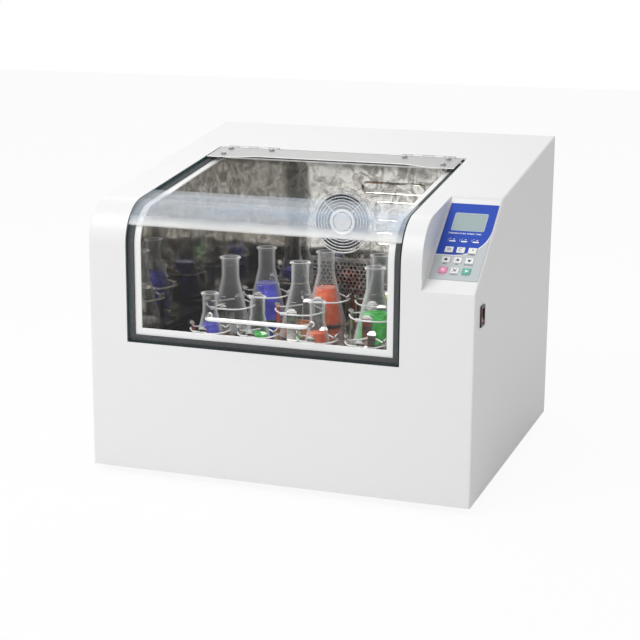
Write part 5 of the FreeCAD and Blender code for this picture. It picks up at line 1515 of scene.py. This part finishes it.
@dataclass
class Platform:
    """Tray with its clamps, flasks and what they hold."""

    clamps: dict[str, ClampSizes] = field(default_factory=lambda: {
        "large": ClampSizes(46.0 * MM, 20.0 * MM, 58.0 * MM, 53.0 * MM),
        "small": ClampSizes(35.0 * MM, 15.0 * MM, 50.0 * MM, 43.0 * MM)})
    flasks: dict[str, FlaskSizes] = field(default_factory=lambda: {
        "large": FlaskSizes(17.0 * MM, 20.6 * MM, 104.0 * MM),
        "small": FlaskSizes(13.5 * MM, 16.6 * MM, 76.0 * MM)})
    glass: float = 2.0 * MM
    lip: float = 3.4 * MM
    neck_top: float = 7.0 * MM
    outer_bends: tuple[float, ...] = (0, 6.0, 26.0, 2.0, 1.0, 1.5, 1.5, 0.5)
    inner_bends: tuple[float, ...] = (0, 26.0, 5.0, 0)
    liquid_bends: tuple[float, ...] = (0, 3.0, 0.3, 0.8, 0)
    rim_width: float = 1.5 * MM
    rim_drop: float = 0.6 * MM
    centre_drop: float = 0.8 * MM
    mark_shares: tuple[float, ...] = (0.2, 0.32, 0.44, 0.56, 0.68)
    mark_radius: float = 0.35 * MM
    mark_start: float = 250.0
    mark_pitch: float = 3.0
    large_from: float = 33.0 * MM
    knob_height: float = 5.0 * MM
    knob_edge: float = 0.4 * MM
    knob_dome: float = 1.6 * MM
    stem: Profile = Profile(((0, 0), (3.0, 0), (3.0, 7.0), (0, 7.0)))
    stem_depth: float = 12.0 * MM
    on_tray: float = 0.5 * MM

    def build(self) -> None:
        """Dress the tray, the clamps and the flasks."""
        soften("tray", "tray_steel", "tray_steel", width=0.8 * MM, body=Body.PLATFORM, segments=3)
        soften("carriage_frame", "cast_aluminium", "carriage_alu", width=1.0 * MM, body=Body.PLATFORM)
        self.knobs()
        for size, sizes in self.clamps.items():
            self.clamp_set(size, sizes)
        for size, sizes in self.flasks.items():
            self.flask_set(size, sizes)
        for tint in ("blue", "green", "orange", "amber", "yellow"):
            self.fill(tint)

    def knobs(self) -> None:
        """Domed tray knobs on their threaded stems."""
        boxes = islands("tray_knobs")
        radius = round_size(boxes[0])[0]
        height = self.knob_height
        profile = rounded_profile([(0, 0), (radius, 0), (radius, height), (0, height)],
                                  [0, self.knob_edge, self.knob_dome, 0])
        shape = Shape().lathe(profile, sides=32, foot=-UP * height)
        shape.lathe(self.stem.points(), sides=16, foot=-UP * self.stem_depth)
        knob = shape.build("knob_pattern", "knob_black")
        spots = [at_height(pair, pair[1].z) for pair in boxes]
        seat(repeated("tray_screws", knob, spots, "knob_black"), Body.PLATFORM, "knob_black", "tray_knobs")

    def clamp_set(self, size: str, sizes: ClampSizes) -> None:
        """Plates, wires and springs of one size of clamp.

        Args:
            size: word for the node and the pieces' names.
            sizes: the clamp's sizes.
        """
        node = f"clamps_{size}"
        tray_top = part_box("tray")[1].z
        spots = [at_height(pair, tray_top) for pair in islands(node) if pair[0].z < tray_top + self.on_tray]
        for word, make, finish, nodes in (("plates", self.plate, "clamp_steel", (node,)),
                                          ("wires", self.wire, "spring_bright", ()),
                                          ("springs", self.spring, "spring_bright", ())):
            copies = repeated(f"{size}_clamp_{word}", make(sizes), spots, finish)
            seat(copies, Body.PLATFORM, "clamp_steel", *nodes)

    def plate(self, sizes: ClampSizes) -> bpy.types.Object:
        """Cross of four bent arms with rounded, flared tips."""
        wall, arm = sizes.wall, sizes.reach - sizes.wall / 2
        corners = [Vector((0, 0, wall / 2)), Vector((arm, 0, wall / 2)), Vector((arm, 0, sizes.arm_height)),
                   Vector((arm + sizes.flare, 0, sizes.arm_height + sizes.tip - wall))]
        path = rounded_path(corners, [0, sizes.root_bend, sizes.flare_bend, 0], steps=5)
        steps = [0.0] + [(after - before).length for before, after in zip(path, path[1:])]
        radius = sizes.arm_width / 2
        sections = []
        for index, point in enumerate(path):
            way = (path[min(index + 1, len(path) - 1)] - path[max(index - 1, 0)]).normalized()
            out = Vector((-way.z, 0, way.x)) * (wall / 2)
            to_tip = sum(steps[index + 1:]) / (radius * sizes.tip_share)
            side = BACK * radius * min(1.0, sizes.tip_width + (1 - sizes.tip_width) * to_tip)
            sections.append((point - out - side, point - out + side, point + out + side, point + out - side))
        shape = Shape()
        for quarter in range(4):
            turn = Matrix.Rotation(math.radians(90 * quarter), 3, "Z")
            shape.rings([[turn @ corner for corner in section] for section in sections])
        return shape.build("clamp_plate_pattern", "clamp_steel")

    def ring_point(self, sizes: ClampSizes, turn: float) -> Vector:
        """A point of the wire ring, which is widest where it hooks round the arms.

        Args:
            sizes: the clamp's sizes.
            turn: angle round the clamp's middle.

        Returns:
            The point, with a slight sag between the arms.
        """
        between = (1.0 - math.cos(4 * turn)) / 2
        radius = sizes.reach + sizes.wire_gap - sizes.bow * between
        height = sizes.wire_height - sizes.sag * between
        return Vector((radius * math.cos(turn), radius * math.sin(turn), height))

    def wire(self, sizes: ClampSizes) -> bpy.types.Object:
        """Wire ring hooked round the four arms."""
        path = [self.ring_point(sizes, turn) for turn in turns(sizes.ring_steps)]
        ring = Shape().tube(path, sizes.wire, sides=8, flat=UP, closed=True)
        return ring.build("clamp_wire_pattern", "spring_bright", crease=50.0)

    def spring(self, sizes: ClampSizes) -> bpy.types.Object:
        """Closing spring on the wire's front left stretch."""
        middle = self.ring_point(sizes, sizes.spring_turn)
        way = (self.ring_point(sizes, sizes.spring_turn + sizes.spring_ahead) - middle).normalized()
        side = way.cross(UP)
        count = sizes.coils * sizes.coil_steps
        coil = []
        for step in range(count + 1):
            turn = 2 * math.pi * step / sizes.coil_steps
            along = (step / count - 0.5) * sizes.spring_length
            coil.append(middle + way * along
                        + (side * math.cos(turn) + UP * math.sin(turn)) * sizes.coil_radius)
        shape = Shape().tube(coil, sizes.spring_wire, sides=6, flat=way)
        return shape.build("clamp_spring_pattern", "spring_bright", crease=50.0)

    def flask_set(self, size: str, sizes: FlaskSizes) -> None:
        """Blown conical flasks of one size with their printed marks.

        Args:
            size: word for the node and the pieces' names.
            sizes: the flask's sizes.
        """
        node = f"flasks_{size}"
        boxes = islands(node)
        base, height = round_size(boxes[0])
        neck, rim, shoulder = sizes.neck, sizes.rim, sizes.shoulder
        lip, wall = height - self.lip, self.glass
        outer = rounded_profile(
            [(0, 0), (base, 0), (neck, shoulder), (neck, height - self.neck_top), (neck, lip), (rim, lip),
             (rim, height), (neck, height)], [bend * MM for bend in self.outer_bends], steps=6)
        inner = rounded_profile(
            [(neck - wall, height), (neck - wall, shoulder), (base - wall, wall), (0, wall)],
            [bend * MM for bend in self.inner_bends], steps=6)
        glass = Shape().lathe(outer + inner, sides=56, foot=Vector())
        flask = glass.build("flask_pattern", "flask_glass", crease=60.0)
        spots = [at_height(pair, pair[0].z) for pair in boxes]
        seat(repeated(f"{size}_flasks", flask, spots, "flask_glass"), Body.PLATFORM, "flask_glass", node)
        shape = Shape()
        for share in self.mark_shares:
            level = shoulder * share
            above_bend = level - self.outer_bends[1] * MM
            radius = base + (neck - base) * above_bend / shoulder + self.mark_radius
            line = around(radius, self.mark_start, self.mark_pitch, count=8)
            shape.tube([Vector((x, y, level)) for x, y in line], self.mark_radius, sides=5, flat=UP)
        pattern = shape.build("mark_pattern", "print_white")
        marks = repeated(f"{size}_flask_marks", pattern, spots, "print_white")
        seat(marks, Body.PLATFORM, "flask_glass")

    def fill(self, tint: str) -> None:
        """Liquid in the flasks of one colour, with its rim drawn up the glass.

        Args:
            tint: colour word of the node and of the finish.
        """
        shape = Shape()
        for pair in islands(f"liquid_{tint}"):
            radius, level = round_size(pair)
            sizes = self.flasks["large" if radius > self.large_from else "small"]
            full = sizes.shoulder - self.glass
            top = radius + (sizes.neck - self.glass - radius) * level / full
            profile = rounded_profile(
                [(0, 0), (radius, 0), (top, level), (top - self.rim_width, level - self.rim_drop),
                 (0, level - self.centre_drop)], [bend * MM for bend in self.liquid_bends], 4)
            shape.lathe(profile, sides=48, foot=at_height(pair, pair[0].z))
        item = shape.build(f"medium_{tint}", f"medium_{tint}", crease=50.0)
        seat(item, Body.PLATFORM, f"liquid_{tint}", f"liquid_{tint}")


def around(radius: float, start: float, pitch: float, count: int) -> list[tuple[float, float]]:
    """Points on a circle about the origin.

    Args:
        radius: the circle's radius.
        start: angle of the first point in degrees.
        pitch: degrees from point to point.
        count: number of points.

    Returns:
        The points' two coordinates.
    """
    angles = [math.radians(start + pitch * step) for step in range(count)]
    return [(radius * math.cos(angle), radius * math.sin(angle)) for angle in angles]


@dataclass(frozen=True)
class KeyLook:
    """Word, colours and mark of one key, with the mark in millimetres about the key's middle."""

    word: str
    fills: Sequence[Outline] = ()
    strokes: Sequence[Outline] = ()
    stroke_radius: float = 0.45
    finish: str = "key_white"
    word_ink: str = "print_black"
    mark_ink: str = "print_black"


KEYS = {
    "mode": KeyLook("MODE", strokes=[((-3.4, run), (3.4, run)) for run in (-2.2, 0.0, 2.2)],
                    stroke_radius=0.4),
    "speed": KeyLook("SPEED", strokes=[around(3.2, 40, 22, 13)]),
    "timer": KeyLook("TIMER", strokes=[((0, 0), (0, 3.4)), ((0, 0), (2.8, 0))]),
    "round": KeyLook("SET", [around(3.0, 0, 18, 20)]),
    "up": KeyLook("UP", [around(4.2, 90, 120, 3)]),
    "down": KeyLook("DOWN", [around(4.2, -90, 120, 3)]),
    "stop": KeyLook("STOP", [around(3.4, 45, 90, 4)], finish="key_pink", word_ink="print_magenta",
                    mark_ink="print_white"),
    "light": KeyLook("LIGHT", [around(1.8, 0, 22.5, 16)],
                     list(zip(around(2.4, 45, 90, 4), around(5.2, 45, 90, 4))), 0.5),
    "start": KeyLook("START", [around(4.2, 0, 120, 3)], finish="key_green", word_ink="print_teal",
                     mark_ink="print_white"),
}


@dataclass
class Console:
    """Sloping control panel: print, display, keys and their words."""

    ink: float = 0.06 * MM
    window_depth: float = 1.2 * MM
    blue: Color = (0.013, 0.066, 0.46, 1.0)
    pale: Color = (0.56, 0.6, 0.61, 1.0)
    shoulder: float = -20.0 * MM
    curve: float = 56.0 * MM
    rim_margin: float = 1.2 * MM
    rim_half: float = 22.0 * MM
    rim_corner: float = 3.5 * MM
    face_margin: float = -0.6 * MM
    face_half: float = 20.2 * MM
    face_corner: float = 2.5 * MM
    title_shift: float = -3.0 * MM
    title_run: float = -28.5 * MM
    title_height: float = 4.4 * MM
    bar_run: float = 20.8 * MM
    bar_place: tuple[float, float] = (1.0 * MM, 0.0)
    bar_half: tuple[float, float] = (5.6 * MM, 1.5 * MM)
    bar_corner: float = 1.2 * MM
    dot_place: tuple[float, float] = (3.0 * MM, 4.6 * MM)
    dot_half: tuple[float, float] = (1.6 * MM, 0.7 * MM)
    dot_corner: float = 0.5 * MM
    arc_place: tuple[float, float] = (-1.0 * MM, 2.0 * MM)
    arc_half: tuple[float, float] = (6.4 * MM, 4.2 * MM)
    arc_wire: float = 0.28 * MM
    key_edge: float = 0.6 * MM
    key_face: float = 1.0 * MM
    word_drop: float = 9.5 * MM
    word_height: float = 4.3 * MM
    boldness: float = 0.022
    letter_gap: float = 1.12
    origin: Vector = field(init=False)
    up_slope: Vector = field(init=False)
    normal: Vector = field(init=False)

    def __post_init__(self) -> None:
        """Read the panel's plane from the keys' sliding axis and the display's box."""
        joint = next(item for item in frame["joints"] if item["name"] == "mode_key_press")
        self.normal = -Vector(joint["axis"]).normalized()
        self.up_slope = Vector((0, self.normal.z, -self.normal.y))
        self.origin = centre_of(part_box("lcd_window")) + self.normal * self.window_depth

    def at(self, across: float, run: float, lift: float = 0.0) -> Vector:
        """A point on the panel from x, distance up the slope from the display and height."""
        base = self.origin + self.up_slope * run + self.normal * lift
        return Vector((across, base.y, base.z))

    def spot(self, node: str) -> tuple[float, float]:
        """Centre of a node on the panel: x and distance up the slope."""
        middle = centre_of(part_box(node))
        return middle.x, (middle - self.origin).dot(self.up_slope)

    def build(self) -> None:
        """Dress the panel, the mains rocker and the inlet."""
        self.overlay()
        self.display()
        for word, look in KEYS.items():
            self.key(word, look)
        soften("rocker_bezel", "bezel_black", "bezel_black", width=0.7 * MM, segments=3)
        soften("rocker", "rocker_red", "rocker_red", width=0.5 * MM, body=Body.ROCKER, segments=3)
        soften("power_inlet", "bezel_black", "bezel_black", width=0.4 * MM)

    def overlay(self) -> None:
        """The printed overlay, its blue field ending between the first two rows of keys."""
        foot = (self.spot("key_mode")[1] + self.spot("key_round")[1]) / 2
        curve_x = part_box("console_panel")[1].x - self.curve
        PALETTE.add(PanelPrint("panel_print", self.pale, self.blue, grey(0.85), self.origin, self.up_slope,
                               foot, self.shoulder, curve_x, self.curve))
        soften("console_panel", "panel_print", "panel_blue", width=0.2 * MM)

    def patch(self, shape: Shape, place: tuple[float, float], half: tuple[float, float], radius: float,
              lift: float = 0.0) -> Shape:
        """Add a rounded rectangle of ink that lies on the panel.

        Args:
            shape: what it is added to.
            place: x and distance up the slope of its middle.
            half: half sizes in the same directions.
            radius: radius of its corners.
            lift: height over the panel.

        Returns:
            The shape.
        """
        flat = [Vector((place[0] + side * half[0], place[1] + rise * half[1], 0))
                for side, rise in ((-1, -1), (1, -1), (1, 1), (-1, 1))]
        path = rounded_path(flat, [radius] * 4, steps=5, closed=True)
        return shape.plate([self.at(point.x, point.y, lift) for point in path], self.normal * self.ink)

    def display(self) -> None:
        """Grey-green display behind a pale rim, its line of words and the three bars."""
        dress_node("lcd_window", "display_glass")
        low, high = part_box("lcd_window")
        across, half = (low.x + high.x) / 2, (high.x - low.x) / 2
        rim = self.patch(Shape(), (across, 0), (half + self.rim_margin, self.rim_half), self.rim_corner)
        seat(rim.build("display_rim", "display_rim"), Body.CABINET, "window_grey")
        face = self.patch(Shape(), (across, 0), (half + self.face_margin, self.face_half), self.face_corner,
                          self.ink)
        seat(face.build("display_face", "display_glass"), Body.CABINET, "window_grey")
        self.words("display_words", "TEMPERATURE SPEED TIME", (across + self.title_shift, self.title_run),
                   self.title_height, "print_white")
        level = self.spot("key_mode")[1] + self.bar_run
        bars = Shape()
        for node in ("key_mode", "key_speed", "key_timer"):
            self.bar(bars, self.spot(node)[0], level)
        seat(bars.build("display_bars", "print_white"), Body.CABINET, "key_white")

    def bar(self, shape: Shape, across: float, level: float) -> None:
        """Add a bar with the arc and the dot over it, one for each of the three readings."""
        for (side, rise), half, corner in ((self.bar_place, self.bar_half, self.bar_corner),
                                           (self.dot_place, self.dot_half, self.dot_corner)):
            self.patch(shape, (across + side, level + rise), half, corner)
        side, rise = across + self.arc_place[0], level + self.arc_place[1]
        arc = [self.at(side + x * self.arc_half[0], rise + y * self.arc_half[1], self.ink)
               for x, y in around(1.0, start=95, pitch=12, count=10)]
        shape.tube(arc, self.arc_wire, sides=5, flat=self.normal)

    def words(self, name: str, text: str, place: tuple[float, float], height: float, finish: str) -> None:
        """Print a short line of text on the panel.

        Args:
            name: object name.
            text: what it says.
            place: x and distance up the slope of its middle.
            height: letter size.
            finish: name of its finish.
        """
        curve = bpy.data.curves.new(f"{name}_text", "FONT")
        curve.body = text
        curve.size = height
        curve.extrude = self.ink / 2
        curve.offset = height * self.boldness
        curve.space_character = self.letter_gap
        curve.align_x = "CENTER"
        curve.align_y = "CENTER"
        curve.resolution_u = 2
        mesh = evaluated_mesh(linked(f"{name}_holder", curve))
        turn = Matrix((RIGHT, self.up_slope, self.normal)).transposed().to_4x4()
        mesh.transform(Matrix.Translation(self.at(*place, self.ink)) @ turn)
        mesh.materials.clear()
        mesh.materials.append(PALETTE.get(finish))
        seat(linked(name, mesh), Body.CABINET, "key_white")

    def key(self, word: str, look: KeyLook) -> None:
        """A key with soft edges, the word under it and its mark.

        Args:
            word: what sets the key's node and body apart.
            look: how it looks.
        """
        node, body = f"key_{word}", Body(f"{word}_key")
        across, run = self.spot(node)
        soften(node, look.finish, look.finish, self.key_edge, body)
        self.words(f"{node}_word", look.word, (across, run - self.word_drop), self.word_height,
                   look.word_ink)
        shape = Shape()
        for outline in look.fills:
            shape.plate(self.on_key(outline, across, run), self.normal * self.ink)
        for line in look.strokes:
            shape.tube(self.on_key(line, across, run), look.stroke_radius * MM, sides=6, flat=self.normal)
        seat(shape.build(f"{node}_symbol", look.mark_ink), body, "key_white")

    def on_key(self, line: Outline, across: float, run: float) -> list[Vector]:
        """Points in millimetres about a key's middle, on the key's face."""
        return [self.at(across + x * MM, run + y * MM, self.key_face) for x, y in line]


@dataclass(frozen=True)
class Lamp:
    """A soft lamp."""

    name: str
    place: Vector
    aim: Vector
    size: tuple[float, float]
    power: float
    hidden: bool = False

    def build(self) -> None:
        """Put the lamp up; a hidden one is seen by neither camera nor mirrors."""
        data = bpy.data.lights.new(self.name, "AREA")
        data.shape = "RECTANGLE"
        data.size, data.size_y = self.size
        data.energy = self.power
        item = linked(self.name, data)
        turn = self.aim.to_track_quat("-Z", "Y").to_matrix().to_4x4()
        item.matrix_world = Matrix.Translation(self.place) @ turn
        item.visible_camera = not self.hidden
        item.visible_glossy = not self.hidden


@dataclass
class Studio:
    """Pale floor, soft lamps and the photograph's camera."""

    eye: Vector = field(default_factory=lambda: Vector((0.95445, -2.7863, 0.9344)))
    heading: float = math.radians(-19.318)
    tilt: float = math.radians(-13.031)
    roll: float = math.radians(0.412)
    focal_pixels: float = 1559.8
    image_pixels: float = 640.0
    sensor: float = 36.0
    sky: float = 0.52
    outside: tuple[tuple[str, Triple, float, float], ...] = (
        ("key_lamp", (-1.3, -2.3, 3.0), 2.2, 62.0), ("rear_lamp", (-1.2, 2.0, 2.8), 1.6, 10.0),
        ("top_lamp", (0.0, 0.1, 2.6), 1.0, 3.5))
    aim: Triple = (0.0, 0.0, 0.3)
    chamber_way: Triple = (0.0, 0.25, -0.3)
    chamber_power: float = 0.55
    chamber_share: float = 0.8
    chamber_depth: float = 0.08
    chamber_back: float = 0.1
    chamber_drop: float = 0.05
    floor_reach: float = 9.0
    floor_color: Color = (0.93, 0.93, 0.93, 1.0)

    def build(self) -> None:
        """Put up the camera, the lamps, the world and the floor."""
        scene = bpy.context.scene
        scene.view_settings.view_transform = "Standard"
        self.camera(scene)
        for lamp in self.lamps():
            lamp.build()
        self.world(scene)
        self.floor()

    def camera(self, scene: bpy.types.Scene) -> None:
        """Camera at the photograph's viewpoint."""
        way = Vector((math.sin(self.heading) * math.cos(self.tilt),
                      math.cos(self.heading) * math.cos(self.tilt), math.sin(self.tilt)))
        side = Vector((math.cos(self.heading), -math.sin(self.heading), 0))
        top = side.cross(way)
        right = side * math.cos(self.roll) + top * math.sin(self.roll)
        crown = top * math.cos(self.roll) - side * math.sin(self.roll)
        data = bpy.data.cameras.new("photo_camera")
        data.sensor_width = self.sensor
        data.lens = self.focal_pixels / self.image_pixels * self.sensor
        item = linked("photo_camera", data)
        item.matrix_world = Matrix.Translation(self.eye) @ Matrix((right, crown, -way)).transposed().to_4x4()
        scene.camera = item

    def lamps(self) -> list[Lamp]:
        """Three lamps round the shaker and a hidden one under the front of the lid."""
        low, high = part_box("chamber_liner")
        lamps = [Lamp(name, Vector(place), Vector(self.aim) - Vector(place), (size, size), power)
                 for name, place, size, power in self.outside]
        place = Vector(((low.x + high.x) / 2, low.y + self.chamber_back, high.z - self.chamber_drop))
        size = ((high.x - low.x) * self.chamber_share, self.chamber_depth)
        lamps.append(Lamp("chamber_lamp", place, Vector(self.chamber_way), size, self.chamber_power, True))
        return lamps

    def world(self, scene: bpy.types.Scene) -> None:
        """Even sky that camera, mirrors and glass see as white."""
        world = bpy.data.worlds.new("studio_sky")
        scene.world = world
        world.use_nodes = True
        graph = Graph(world.node_tree)
        graph.tree.nodes.clear()
        seen = graph.node("ShaderNodeLightPath", out="Is Camera Ray")
        rays = seen.socket.node.outputs
        direct = seen.most(Wire(graph, rays["Is Glossy Ray"])).most(Wire(graph, rays["Is Transmission Ray"]))
        strength = self.sky + direct * (1.0 - self.sky)
        light = graph.node("ShaderNodeBackground", values={"Color": (1, 1, 1, 1), "Strength": strength})
        output = graph.tree.nodes.new("ShaderNodeOutputWorld")
        graph.tree.links.new(light.socket, output.inputs["Surface"])

    def floor(self) -> None:
        """A wide pale floor."""
        PALETTE.add(PaleFloor("floor_pale", self.floor_color))
        corners = [Vector((x * self.floor_reach, y * self.floor_reach, 0))
                   for x, y in ((-1, -1), (1, -1), (1, 1), (-1, 1))]
        Shape().add(corners, [(0, 1, 2, 3)]).build("studio_floor", "floor_pale")


def main() -> None:
    """Build the shaker's looks, sub-assembly by sub-assembly."""
    logging.basicConfig(level=logging.INFO, format="%(message)s")
    for part in (Cabinet(), Lid(), Chamber(), Drive(), Platform(), Console(), Studio()):
        part.build()


if __name__ == "__main__":
    main()
